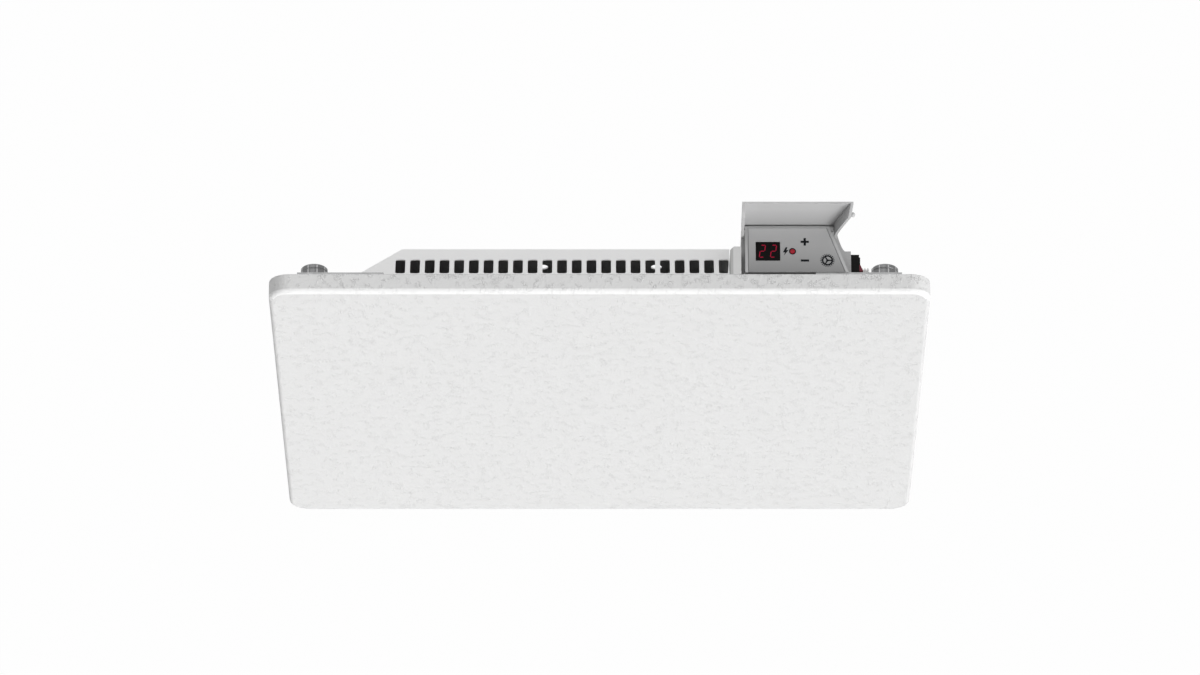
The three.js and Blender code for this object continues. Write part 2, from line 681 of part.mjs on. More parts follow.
/** X of the control face's slanted right edge at a given Y. */
function faceRightX(y) {
  const share = (y - HOUSING_FRONT_Y) / (HOUSING_REAR_Y - HOUSING_FRONT_Y);
  return FACE_RIGHT_FRONT_X + share * (FACE_RIGHT_REAR_X - FACE_RIGHT_FRONT_X);
}

// The lower edge of the lid's walls swings forward as it turns, so the right wall follows
// a curve that stays clear of the face's slanted edge.
const LID_WALL_SWING = LID_WALL_DEPTH - FIT - HINGE_DROP;
const LID_CURVE_STEPS = 6;
const lidReach = HINGE_Y - HOUSING_FRONT_Y;
const LID_CLEAR_PLAN = [
  new THREE.Vector2(FACE_LEFT_X, HOUSING_FRONT_Y),
  ...Array.from({ length: LID_CURVE_STEPS + 1 }, (_, i) => {
    const ahead = lidReach * (1 - i / LID_CURVE_STEPS);
    return new THREE.Vector2(faceRightX(HINGE_Y - Math.hypot(ahead, LID_WALL_SWING)), HINGE_Y - ahead);
  }),
  new THREE.Vector2(faceRightX(HINGE_Y - LID_WALL_SWING), HOUSING_REAR_Y),
  new THREE.Vector2(FACE_LEFT_X, HOUSING_REAR_Y),
];
const LID_HEEL_X = LID_CLEAR_PLAN.at(-2).x + SLIDE;

/** The lower body's plan: square to the left, stepped and rounded to the right. */
function bodyPlan() {
  const sideRear = PANEL_REAR_Y + BODY_SIDE_DEPTH;
  const bulge = new THREE.QuadraticBezierCurve(
    new THREE.Vector2(BODY_RIGHT_X - BULGE_START, sideRear),
    new THREE.Vector2(BODY_RIGHT_X - BULGE_BELLY, sideRear + BULGE_DROP),
    new THREE.Vector2(LID_HEEL_X + LID_WALL, HOUSING_REAR_Y),
  );
  return [
    new THREE.Vector2(BODY_LEFT_X, HOUSING_FRONT_Y),
    new THREE.Vector2(BODY_RIGHT_X, HOUSING_FRONT_Y),
    new THREE.Vector2(BODY_RIGHT_X, sideRear),
    ...bulge.getPoints(5),
    new THREE.Vector2(BODY_LEFT_X, HOUSING_REAR_Y),
  ];
}

/** The recess for the cover: inside the housing's side and rear walls, and open at the front. */
function coverPlan(gap, frontY) {
  const plan = inset(FACE_PLAN, HOUSING_WALL + gap);
  const share = (frontY - plan[1].y) / (plan[2].y - plan[1].y);
  const frontRight = plan[1].clone().lerp(plan[2], share);
  return [new THREE.Vector2(plan[0].x, frontY), frontRight, plan[2], plan[3]];
}

const BOARD_INSET = HOUSING_WALL + HOUSING_LEDGE + FIT;
const BOARD_PLAN = inset(FACE_PLAN, BOARD_INSET);
const BOARD_BOTTOM_Z = BOARD_TOP_Z - BOARD_THICKNESS;

/** Corner bosses that the circuit board rests on, each overlapping the housing's walls. */
function boardBosses(floor) {
  const frontY = HOUSING_FRONT_Y + HOUSING_WALL / 2;
  const rearY = HOUSING_REAR_Y - HOUSING_WALL / 2;
  const reach = BOARD_INSET - HOUSING_WALL / 2 + BOSS_SIDE / 2;
  const leftX = FACE_LEFT_X + HOUSING_WALL / 2;
  const frontRightX = BOARD_PLAN[1].x;
  const rearRightX = BOARD_PLAN[2].x;
  return [
    block(leftX, leftX + reach, frontY, frontY + reach, floor, BOARD_BOTTOM_Z),
    block(leftX, leftX + reach, rearY - reach, rearY, floor, BOARD_BOTTOM_Z),
    block(frontRightX - reach, frontRightX + HOUSING_WALL, frontY, frontY + reach, floor, BOARD_BOTTOM_Z),
    block(rearRightX - reach, rearRightX + HOUSING_WALL, rearY - reach, rearY, floor, BOARD_BOTTOM_Z),
  ];
}

/** The rocker switch's body where it passes the housing's side, grown by a clearance. */
function switchBodyBlock(grow) {
  const [length, height] = [SWITCH_BODY_LENGTH / 2 + grow, SWITCH_BODY_HEIGHT / 2 + grow];
  return block(BODY_RIGHT_X - SWITCH_BODY_DEPTH - grow, BODY_RIGHT_X + grow,
    SWITCH_Y - length, SWITCH_Y + length, SWITCH_Z - height, SWITCH_Z + height);
}

/** Ends of the two hinge pins along X, from inside the housing to the lid's outer side. */
function hingePinPlaces() {
  return {
    left: [FACE_LEFT_X - SLIDE - LID_WALL, FACE_LEFT_X + HOUSING_WALL - FIT],
    right: [faceRightX(HINGE_Y) - HOUSING_WALL + SLIDE, LID_HEEL_X + LID_WALL],
  };
}

/** The boss that carries the right pin out to the lid's wall. */
function hingeBoss() {
  return bar('x', HINGE_BOSS_DIAMETER, faceRightX(HINGE_Y) - HOUSING_WALL, LID_HEEL_X - SLIDE / 2,
    [HINGE_Y, HINGE_Z], 24);
}

function hingePin(side, grow) {
  const [from, to] = hingePinPlaces()[side];
  return bar('x', HINGE_PIN_DIAMETER + 2 * grow, from - grow, to + grow, [HINGE_Y, HINGE_Z], 20);
}

function controlHousing() {
  const plan = bodyPlan();
  const floor = HOUSING_BOTTOM_Z + HOUSING_WALL;
  const body = join(
    prism(plan, HOUSING_BOTTOM_Z, SHOULDER_Z),
    prism(FACE_PLAN, SHOULDER_Z - HOUSING_WALL, TOP_Z),
    hingeBoss(),
  );
  const cavity = inset(FACE_PLAN, HOUSING_WALL + HOUSING_LEDGE);
  let shell = cut(body,
    prism(inset(plan, HOUSING_WALL), floor, SHOULDER_Z - HOUSING_WALL),
    prism(cavity, floor, TOP_Z + OVERCUT),
    prism(coverPlan(0, HOUSING_FRONT_Y - OVERCUT), COVER_BOTTOM_Z, TOP_Z + OVERCUT));
  shell = boardBosses(floor - 1).map(solid).reduce((all, boss) => all.add(boss), shell);
  return cut(shell,
    switchBodyBlock(FIT),
    bar('x', GLAND_NECK_DIAMETER + 2 * FIT, BODY_RIGHT_X - 3 * HOUSING_WALL, BODY_RIGHT_X + OVERCUT,
      [GLAND_Y, GLAND_Z], 24),
    hingePin('left', FIT / 2),
    hingePin('right', FIT / 2),
    leadHole(HOUSING_BOTTOM_Z - OVERCUT, floor + OVERCUT),
    rearEdgeChamfer(),
    ...ventSlots());
}

/** The wedge taken off the housing's top rear edge, between the lid's walls. */
function rearEdgeChamfer() {
  const [y, z] = [HOUSING_REAR_Y + OVERCUT, TOP_Z + OVERCUT];
  const leg = REAR_EDGE_CHAMFER + 2 * OVERCUT;
  return acrossX(outline([y, z - leg], [y, z], [y - leg, z]), FACE_LEFT_X - OVERCUT,
    FACE_RIGHT_REAR_X + REAR_EDGE_CHAMFER);
}

/** Narrow vents in the housing's floor, beside the lead hole, for the room sensor. */
function ventSlots() {
  const slots = [];
  for (let i = 0; i < VENT_COUNT; i++) {
    const x = FACE_LEFT_X + VENT_OFFSET + i * VENT_PITCH;
    slots.push(block(x, x + VENT_WIDTH, HOUSING_FRONT_Y + VENT_END, HOUSING_REAR_Y - VENT_END,
      HOUSING_BOTTOM_Z - OVERCUT, HOUSING_BOTTOM_Z + HOUSING_WALL + OVERCUT));
  }
  return slots;
}

piece('control_housing', controlHousing(), GREY_PLASTIC);

// ------------------------------------------------------------ control cover

const depthY = (depth) => PANEL_REAR_Y + depth;

/** A block on the control face, centred at the display window. */
function windowBlock(shrink, z0, z1) {
  const [w, l] = [WINDOW_WIDTH / 2 - shrink, WINDOW_LENGTH / 2 - shrink];
  const y = depthY(WINDOW_DEPTH_CENTRE);
  return block(WINDOW_X - w, WINDOW_X + w, y - l, y + l, z0, z1);
}

function ledBar(diameter, z0, z1) {
  return bar('z', diameter, z0, z1, [LED_X, depthY(LED_DEPTH_CENTRE)], 24);
}

const coverBody = solid(prism(coverPlan(FIT, HOUSING_FRONT_Y), COVER_BOTTOM_Z, TOP_Z));
const controlCover = cut(coverBody,
  windowBlock(0, COVER_BOTTOM_Z - OVERCUT, TOP_Z + OVERCUT),
  ledBar(LED_DIAMETER + 2 * FIT, COVER_BOTTOM_Z - OVERCUT, TOP_Z + OVERCUT));
piece('control_cover', controlCover, GREY_PLASTIC);

const LENS_BOTTOM_Z = TOP_Z - WINDOW_LENS_THICKNESS;
piece('display_lens', windowBlock(FIT, LENS_BOTTOM_Z, TOP_Z), DARK_GLASS);
piece('display_module', windowBlock(FIT, BOARD_TOP_Z, LENS_BOTTOM_Z), BLACK_PLASTIC);

const LED_FLANGE = 1;
piece('indicator_led', join(
  ledBar(LED_DIAMETER, BOARD_TOP_Z + LED_FLANGE / 2, TOP_Z),
  ledBar(LED_DIAMETER + LED_FLANGE, BOARD_TOP_Z, BOARD_TOP_Z + LED_FLANGE),
), RED_PLASTIC);

// ---------------------------------------------------- electronics inside it

piece('circuit_board', prism(BOARD_PLAN, BOARD_BOTTOM_Z, BOARD_TOP_Z), BOARD_GREEN);

for (const { name, offset, depth } of KEYS) {
  const [r, wall] = [KEY_SPRING_DIAMETER / 2, KEY_SPRING_WALL];
  const tube = new THREE.LatheGeometry([
    new THREE.Vector2(r - wall, 0),
    new THREE.Vector2(r, 0),
    new THREE.Vector2(r, COVER_BOTTOM_Z - BOARD_TOP_Z),
    new THREE.Vector2(r - wall, COVER_BOTTOM_Z - BOARD_TOP_Z),
    new THREE.Vector2(r - wall, 0),
  ], 12);
  piece(`touch_spring_${name}`, tube.rotateX(Math.PI / 2), STEEL)
    .position.set(FACE_LEFT_X + offset, depthY(depth), BOARD_TOP_Z);
}

const UNDER_BOARD_Y = depthY(19);
const RELAY = { offset: 41.4, width: 19, depth: 15, height: 15.5 };
const TRANSFORMER = { offset: 17.4, width: 18, depth: 16, height: 14 };

/** A component that hangs from the underside of the board. */
function underBoard({ offset, width, depth, height }) {
  const x = FACE_LEFT_X + offset;
  return block(x - width / 2, x + width / 2, UNDER_BOARD_Y - depth / 2, UNDER_BOARD_Y + depth / 2,
    BOARD_BOTTOM_Z - height, BOARD_BOTTOM_Z);
}
piece('relay', underBoard(RELAY), BLACK_PLASTIC);
piece('transformer', underBoard(TRANSFORMER), BLACK_PLASTIC);

// ------------------------------------------------------------------ the lid

/** The lid's geometry as it lies closed on the housing: a plate with a wall down each side. */
function lidClosed() {
  const outer = inset(LID_CLEAR_PLAN, -SLIDE - LID_WALL);
  const inner = inset(LID_CLEAR_PLAN, -SLIDE);
  const [innerRight, innerLeft] = inner.slice(-2);
  const plateBottom = TOP_Z + FIT;
  const wallBottom = plateBottom - LID_WALL_DEPTH;
  const front = HOUSING_FRONT_Y;
  const tipZ = plateBottom - LID_TIP_DEPTH;
  const tip = outline([front - OVERCUT, tipZ], [front, tipZ],
    [front + LID_TIP_LENGTH, wallBottom], [front + LID_TIP_LENGTH, wallBottom - OVERCUT],
    [front - OVERCUT, wallBottom - OVERCUT]);
  const rear = HOUSING_REAR_Y + SLIDE;
  const plate = prism(outer, plateBottom, plateBottom + LID_PLATE);
  const walls = cut(solid(prism(outer, wallBottom, plateBottom)),
    prism(inner, wallBottom - OVERCUT, plateBottom),
    acrossX(tip, 0, RIGHT_X),
    block(innerLeft.x, innerRight.x, HINGE_Y, 0, wallBottom - OVERCUT, plateBottom));
  const between = block(0, RIGHT_X, front, rear, HOUSING_BOTTOM_Z, TOP_Z + LID_WALL_DEPTH);
  const nub = new THREE.SphereGeometry(LID_NUB_DIAMETER / 2, 12, 8)
    .translate(FACE_RIGHT_FRONT_X + SLIDE + LID_WALL, HOUSING_FRONT_Y + LID_NUB_INSET,
      wallBottom + LID_NUB_RISE);
  const pins = ['left', 'right'].map((side) => hingePin(side, FIT / 2));
  return cut(solid(plate).add(walls).intersect(solid(between)).add(solid(nub)), ...pins);
}

const lidGroup = new THREE.Group();
lidGroup.position.set(0, HINGE_Y, HINGE_Z);
lidGroup.rotation.x = -THREE.MathUtils.degToRad(LID_OPEN_ANGLE);
model.add(lidGroup);
piece('lid', geometryOf(lidClosed()).translate(0, -HINGE_Y, -HINGE_Z), GREY_PLASTIC, lidGroup);

for (const side of ['left', 'right']) {
  piece(`hinge_pin_${side}`, hingePin(side, 0), STEEL);
}

// ------------------------------------------------------------ rocker switch

const BEZEL_OUTER_X = BODY_RIGHT_X + SWITCH_BEZEL_THICKNESS;
const ROCKER_PIVOT_X = BEZEL_OUTER_X - ROCKER_PIN_DROP;

/** The pocket in the switch's bezel that the rocker turns in. */
function rockerPocket() {
  const [l, w] = [SWITCH_BEZEL_LENGTH / 2 - SWITCH_BEZEL_END, ROCKER_WIDTH / 2 + FIT];
  return block(BODY_RIGHT_X - ROCKER_POCKET_DEPTH, BEZEL_OUTER_X + OVERCUT, SWITCH_Y - l, SWITCH_Y + l,
    SWITCH_Z - w, SWITCH_Z + w);
}

function rockerPin(grow) {
  const reach = ROCKER_WIDTH / 2 + ROCKER_PIN_END + grow;
  return bar('z', ROCKER_PIN_DIAMETER + 2 * grow, SWITCH_Z - reach, SWITCH_Z + reach,
    [ROCKER_PIVOT_X, SWITCH_Y], 20);
}

function switchBody() {
  const [l, h] = [SWITCH_BEZEL_LENGTH / 2, SWITCH_BEZEL_HEIGHT / 2];
  const bezel = block(BODY_RIGHT_X, BEZEL_OUTER_X, SWITCH_Y - l, SWITCH_Y + l,
    SWITCH_Z - h, SWITCH_Z + h);
  const tabs = [-1, 1].map((side) => {
    const y = SWITCH_Y + side * SWITCH_BODY_LENGTH / 4;
    const x = BODY_RIGHT_X - SWITCH_BODY_DEPTH;
    const [t, w] = [SWITCH_TAB_SHEET / 2, SWITCH_TAB_WIDTH / 2];
    return block(x - SWITCH_TAB_LENGTH, x + t, y - t, y + t, SWITCH_Z - w, SWITCH_Z + w);
  });
  return cut(join(bezel, switchBodyBlock(0), ...tabs), rockerPocket(), rockerPin(FIT / 2));
}

piece('switch_body', switchBody(), BLACK_PLASTIC);

/** The rocker about its own pivot: a shallow V of two pressing faces over a round hub. */
function rocker() {
  const reach = ROCKER_LENGTH / 2;
  const proud = ROCKER_PIN_DROP + ROCKER_PROUD;
  const plan = outline(
    [-1.5, -2.4],
    [0.6, -reach],
    [proud, -reach],
    [proud - ROCKER_DIP, 0],
    [proud, reach],
    [0.6, reach],
    [-1.5, 2.4],
  );
  const half = ROCKER_WIDTH / 2;
  const pin = new THREE.CylinderGeometry(ROCKER_PIN_DIAMETER / 2, ROCKER_PIN_DIAMETER / 2,
    ROCKER_WIDTH + 2 * ROCKER_PIN_END, 20).rotateX(Math.PI / 2);
  return join(prism(plan, -half, half), pin);
}

const rockerGroup = new THREE.Group();
rockerGroup.position.set(ROCKER_PIVOT_X, SWITCH_Y, SWITCH_Z);
rockerGroup.rotation.z = THREE.MathUtils.degToRad(ROCKER_TILT);
model.add(rockerGroup);
piece('switch_rocker', rocker(), RED_PLASTIC, rockerGroup);

// -------------------------------------------------------------- cable gland

/** The gland's own axis is +Y here, with the housing's side at height 0. */
function cableGland() {
  const r = GLAND_DIAMETER / 2;
  const neck = GLAND_NECK_DIAMETER / 2;
  const bore = GLAND_BORE / 2;
  const inside = HOUSING_WALL + 3.5;
  const profile = [[bore, -inside], [neck, -inside], [neck, 0], [r + 1, 0], [r + 1, 2.2], [neck, 2.2]];
  for (let i = GLAND_RIBS - 1; i >= 0; i--) {
    const start = GLAND_REACH - 0.9 - i * GLAND_RIB_PITCH;
    profile.push([r - 1, start - 0.6], [r, start - 0.4], [r, start + 0.4], [r - 1, start + 0.6]);
  }
  profile.push([r - 1, GLAND_REACH], [bore, GLAND_REACH], [bore, -inside]);
  return new THREE.LatheGeometry(profile.map(([x, y]) => new THREE.Vector2(x, y)), 14);
}

/** Turns a piece made about +Y so that it points along +X from the housing's side. */
function onSide(geometry) {
  return geometry.rotateZ(-Math.PI / 2).translate(BODY_RIGHT_X, GLAND_Y, GLAND_Z);
}
piece('cable_gland', onSide(cableGland()), WHITE_NYLON);

const nutPlan = new THREE.Shape();
for (let i = 0; i < 6; i++) {
  const angle = (i / 6) * Math.PI * 2;
  const radius = NUT_ACROSS_FLATS / Math.sqrt(3);
  const corner = [radius * Math.cos(angle), radius * Math.sin(angle)];
  if (i === 0) nutPlan.moveTo(...corner);
  else nutPlan.lineTo(...corner);
}
const glandNut = cut(solid(prism(nutPlan, 0, NUT_THICKNESS)),
  bar('z', GLAND_NECK_DIAMETER + 2 * FIT, -OVERCUT, NUT_THICKNESS + OVERCUT, [0, 0], 24));
piece('gland_nut', geometryOf(glandNut).rotateY(Math.PI / 2)
  .translate(BODY_RIGHT_X - HOUSING_WALL - NUT_THICKNESS, GLAND_Y, GLAND_Z), WHITE_NYLON);

// ------------------------------------------- terminal block and room sensor

const HOUSING_FLOOR_Z = HOUSING_BOTTOM_Z + HOUSING_WALL;
const TERMINAL = { x: FACE_LEFT_X + 25.4, width: 26, depth: 12, height: 11, rise: 26 };
const TERMINAL_Z = HOUSING_FLOOR_Z + TERMINAL.rise;

function terminalBlock() {
  const { x, width, depth, height } = TERMINAL;
  const y = HOUSING_REAR_Y - HOUSING_WALL - depth / 2;
  const top = TERMINAL_Z + height;
  const body = solid(block(x - width / 2, x + width / 2, y - depth / 2, y + depth / 2, TERMINAL_Z, top));
  const screws = [-1, 0, 1].map((i) =>
    bar('z', 4, top - 3, top + 1, [x + i * width * 0.32, y], 16));
  return cut(body, ...screws);
}
piece('terminal_block', terminalBlock(), WHITE_NYLON);

const SENSOR = { x: FACE_LEFT_X + 63.4, depth: 10, diameter: 3, height: 14 };
piece('room_sensor', bar('z', SENSOR.diameter, HOUSING_FLOOR_Z, HOUSING_FLOOR_Z + SENSOR.height,
  [SENSOR.x, depthY(SENSOR.depth)], 16), BLACK_PLASTIC);

// ---------------------------------------------------------- heating element

/** The finned element: a round core through evenly pitched plate fins. */
function heatingElement() {
  const half = ELEMENT_LENGTH / 2;
  const count = Math.floor((ELEMENT_LENGTH - 2 * FIN_END_GAP) / FIN_PITCH);
  const finPlan = roundedRectangle(FIN_DEPTH / 2, FIN_HEIGHT / 2, FIN_CORNER_RADIUS);
  let element = solid(bar('x', ELEMENT_CORE_DIAMETER, -half, half, [ELEMENT_Y, ELEMENT_Z], 12));
  for (let i = 0; i <= count; i++) {
    const x = (i - count / 2) * FIN_PITCH;
    const fin = acrossX(finPlan, x - FIN_THICKNESS / 2, x + FIN_THICKNESS / 2);
    element = element.add(solid(fin.translate(0, ELEMENT_Y, ELEMENT_Z)));
  }
  return element;
}
piece('heating_element', heatingElement(), ALUMINIUM);

/** An angle bracket on the casing's back plate, with a hole round the element's core. */
function elementBracket(side) {
  const half = ELEMENT_BRACKET_HEIGHT / 2;
  const x = side * (ELEMENT_LENGTH / 2 - ELEMENT_BRACKET_INSET);
  const web = [x - ELEMENT_BRACKET_SHEET / 2, x + ELEMENT_BRACKET_SHEET / 2];
  const footEdges = [x, x + side * ELEMENT_BRACKET_FOOT].sort((a, b) => a - b);
  const front = ELEMENT_Y - ELEMENT_CORE_DIAMETER / 2 - ELEMENT_BRACKET_RIM;
  const bracket = join(
    block(...web, front, CASING_BACK_Y, ELEMENT_Z - half, ELEMENT_Z + half),
    block(...footEdges, CASING_BACK_Y - ELEMENT_BRACKET_SHEET, CASING_BACK_Y,
      ELEMENT_Z - half, ELEMENT_Z + half),
  );
  return cut(bracket,
    bar('x', ELEMENT_CORE_DIAMETER + 2 * FIT, web[0] - OVERCUT, web[1] + OVERCUT,
      [ELEMENT_Y, ELEMENT_Z], 24));
}
piece('element_bracket_left', elementBracket(-1), ZINC);
piece('element_bracket_right', elementBracket(1), ZINC);

const SHIELD_HALF_WIDTH = ELEMENT_LENGTH / 2 - SHIELD_END_GAP;
piece('heat_shield', block(-SHIELD_HALF_WIDTH, SHIELD_HALF_WIDTH, CASING_BACK_Y - SHIELD_SHEET,
  CASING_BACK_Y, ELEMENT_Z - SHIELD_HEIGHT / 2, ELEMENT_Z + SHIELD_HEIGHT / 2), ALUMINIUM);

const CUTOUT_Z = ELEMENT_Z + SHIELD_HEIGHT / 2 - CUTOUT_DROP;
const CUTOUT_REAR_Y = CASING_BACK_Y - SHIELD_SHEET;

/** The overheat cutout: a round body with a cap and a tab to each side, on the heat shield. */
function overheatCutout() {
  const centre = [CUTOUT_OFFSET, CUTOUT_Z];
  const capRear = CUTOUT_REAR_Y - CUTOUT_BODY_HEIGHT;
  const capDiameter = CUTOUT_DIAMETER * CUTOUT_CAP_SHARE;
  const tabs = [-1, 1].map((side) => {
    const edges = [CUTOUT_OFFSET + side * capDiameter / 4, CUTOUT_OFFSET + side * CUTOUT_TAB_REACH]
      .sort((a, b) => a - b);
    const tabRear = capRear - CUTOUT_TAB_SHEET;
    return block(...edges, tabRear - CUTOUT_TAB_SHEET, tabRear,
      CUTOUT_Z - CUTOUT_TAB_WIDTH / 2, CUTOUT_Z + CUTOUT_TAB_WIDTH / 2);
  });
  return join(
    bar('y', CUTOUT_DIAMETER, capRear, CUTOUT_REAR_Y, centre, 20),
    bar('y', capDiameter, capRear - CUTOUT_CAP_HEIGHT, capRear + OVERCUT, centre, 16),
    ...tabs,
  );
}
piece('overheat_cutout', overheatCutout(), BLACK_PLASTIC);

// ------------------------------------------------------------ element leads

/** A sleeved lead from the terminal block, through the housing's floor, to the element's end. */
function lead(side) {
  const blockY = HOUSING_REAR_Y - HOUSING_WALL - TERMINAL.depth / 2;
  const blockX = TERMINAL.x + side * TERMINAL.width * 0.25;
  const holeX = LEAD_HOLE_X + side * LEAD_DIAMETER * 0.75;
  const bendX = ELEMENT_LENGTH / 2 + LEAD_BEND_OUT + side * LEAD_DIAMETER * 0.75;
  const endZ = ELEMENT_Z - side * LEAD_DIAMETER * 0.8;
  const route = new THREE.CatmullRomCurve3([
    new THREE.Vector3(blockX, blockY, TERMINAL_Z - FIT),
    new THREE.Vector3(blockX, blockY, TERMINAL_Z - LEAD_DROP),
    new THREE.Vector3(holeX, LEAD_HOLE_Y, HOUSING_FLOOR_Z + LEAD_LAST_RUN),
    new THREE.Vector3(holeX, LEAD_HOLE_Y, SHELF_BOTTOM_Z - LEAD_DROP),
    new THREE.Vector3(bendX, LEAD_HOLE_Y, SHELF_BOTTOM_Z - LEAD_LONG_DROP),
    new THREE.Vector3(bendX, LEAD_HOLE_Y, ELEMENT_Z + LEAD_TURN_RISE),
    new THREE.Vector3(bendX - LEAD_LAST_RUN / 3, ELEMENT_Y, endZ + LEAD_DROP),
    new THREE.Vector3(bendX - LEAD_LAST_RUN, ELEMENT_Y, endZ),
    new THREE.Vector3(ELEMENT_LENGTH / 2 + FIT, ELEMENT_Y, endZ),
  ], false, 'centripetal');
  const section = new THREE.Shape().absarc(0, 0, LEAD_DIAMETER / 2, 0, Math.PI * 2);
  return new THREE.ExtrudeGeometry(section, { steps: 24, extrudePath: route, curveSegments: 4 });
}
piece('element_lead_live', lead(-1), SILICONE);
piece('element_lead_neutral', lead(1), SILICONE);

export default model;
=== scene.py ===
"""Looks of a wall panel convector heater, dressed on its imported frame.

Everything is in metres in the row's frame: +X right, the front faces -Y, +Z up, and the
wall is the plane Y = 0. Each sub-assembly is a class that builds and dresses its pieces.
"""

import logging
import math
from dataclasses import dataclass, field
from enum import Enum
from typing import Callable, Iterable, Optional

import bmesh
import bpy
from mathutils import Matrix, Vector


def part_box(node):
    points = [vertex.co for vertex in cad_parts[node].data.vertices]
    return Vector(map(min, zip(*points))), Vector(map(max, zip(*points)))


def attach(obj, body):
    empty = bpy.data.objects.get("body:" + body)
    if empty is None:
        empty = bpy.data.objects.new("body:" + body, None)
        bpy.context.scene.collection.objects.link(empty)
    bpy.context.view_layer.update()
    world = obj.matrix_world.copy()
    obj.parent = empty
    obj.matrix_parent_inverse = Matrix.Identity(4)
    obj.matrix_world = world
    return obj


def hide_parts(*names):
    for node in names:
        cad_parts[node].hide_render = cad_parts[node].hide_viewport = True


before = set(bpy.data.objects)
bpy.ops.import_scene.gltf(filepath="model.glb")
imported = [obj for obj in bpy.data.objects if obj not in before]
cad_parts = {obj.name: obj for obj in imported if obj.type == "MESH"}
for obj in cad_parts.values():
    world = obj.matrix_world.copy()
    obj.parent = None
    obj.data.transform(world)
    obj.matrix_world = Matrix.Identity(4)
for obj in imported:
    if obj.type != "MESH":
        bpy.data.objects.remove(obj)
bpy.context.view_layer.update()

log = logging.getLogger("heater")

MM = 0.001


class Axis(Enum):
    """A row axis, by its index in a vector."""

    X = 0
    Y = 1
    Z = 2


class Texture(Enum):
    """The relief that a finish carries."""

    WRINKLE = "wrinkle"
    SMOOTH_PAINT = "smooth_paint"
    GRAIN = "grain"
    BRUSHED = "brushed"
    SPANGLE = "spangle"
    POLISHED = "polished"


# ------------------------------------------------------------- shader nodes


Tree = bpy.types.NodeTree
Node = bpy.types.Node
Socket = bpy.types.NodeSocket
Pair = tuple[float, float]

FLOAT = "NodeSocketFloat"
COLOUR = "NodeSocketColor"
VECTOR = "NodeSocketVector"


def fill_inputs(tree: Tree, node: Node, inputs: dict[str | int, object]) -> None:
    """Sets or links a node's inputs.

    Args:
        tree: the node's tree.
        node: the node.
        inputs: for each input's name or index, the value to set or the socket to link.
    """
    for key, value in inputs.items():
        if isinstance(value, Socket):
            tree.links.new(value, node.inputs[key])
        else:
            node.inputs[key].default_value = value


def add_node(tree: Tree, kind: str, inputs: Optional[dict[str | int, object]] = None,
             **settings: object) -> Node:
    """Adds a node to a tree.

    Args:
        tree: where it goes.
        kind: the node's type.
        inputs: values or sockets for its inputs.
        settings: node properties, set before the inputs.

    Returns:
        The new node.
    """
    node = tree.nodes.new(kind)
    for key, value in settings.items():
        setattr(node, key, value)
    fill_inputs(tree, node, inputs or {})
    return node


def maths(tree: Tree, operation: str, *values: object, clamp: bool = False) -> Socket:
    """The result of a sum on values or sockets.

    Args:
        tree: where its node goes.
        operation: the Math node's operation.
        values: what it works on, in order.
        clamp: holds the result between 0 and 1.

    Returns:
        The result's socket.
    """
    node = add_node(tree, "ShaderNodeMath", dict(enumerate(values)), operation=operation, use_clamp=clamp)
    return node.outputs["Value"]


def ranged(tree: Tree, value: Socket, span: Pair, result: Pair) -> Socket:
    """A value moved from one range to another and held inside it.

    Args:
        tree: where its node goes.
        value: the value.
        span: the ends of its range.
        result: what it becomes at those ends.

    Returns:
        The new value's socket.
    """
    names = ("From Min", "From Max", "To Min", "To Max")
    node = add_node(tree, "ShaderNodeMapRange", {"Value": value, **dict(zip(names, (*span, *result)))})
    return node.outputs["Result"]


def scaled_colour(tree: Tree, colour: Socket, factor: Socket) -> Socket:
    """A colour times a factor."""
    node = add_node(tree, "ShaderNodeVectorMath", {0: colour, "Scale": factor}, operation="SCALE")
    return node.outputs["Vector"]


@dataclass
class GroupSocket:
    """One named socket of a shader group."""

    name: str
    kind: str
    is_output: bool = False


class ShaderGroup:
    """A shader node group that is built once and placed in many materials."""

    _made: dict[Callable[[], "ShaderGroup"], Tree] = {}

    def __init__(self, name: str, sockets: Iterable[GroupSocket]) -> None:
        """Starts an empty group.

        Args:
            name: the group's name.
            sockets: its inputs and outputs.
        """
        self.tree = bpy.data.node_groups.new(name, "ShaderNodeTree")
        for item in sockets:
            in_out = "OUTPUT" if item.is_output else "INPUT"
            self.tree.interface.new_socket(item.name, in_out=in_out, socket_type=item.kind)
        self._start = self.tree.nodes.new("NodeGroupInput")
        self._end = self.tree.nodes.new("NodeGroupOutput")

    def given(self, name: str) -> Socket:
        """The socket inside the group that carries one of its inputs."""
        return self._start.outputs[name]

    def give(self, name: str, source: Socket) -> None:
        """Links a socket to one of the group's outputs."""
        self.tree.links.new(source, self._end.inputs[name])

    @classmethod
    def get(cls, make: Callable[[], "ShaderGroup"]) -> Tree:
        """Returns a group's tree, making it the first time.

        Args:
            make: builds the group.

        Returns:
            The node tree.
        """
        if make not in cls._made:
            cls._made[make] = make().tree
        return cls._made[make]


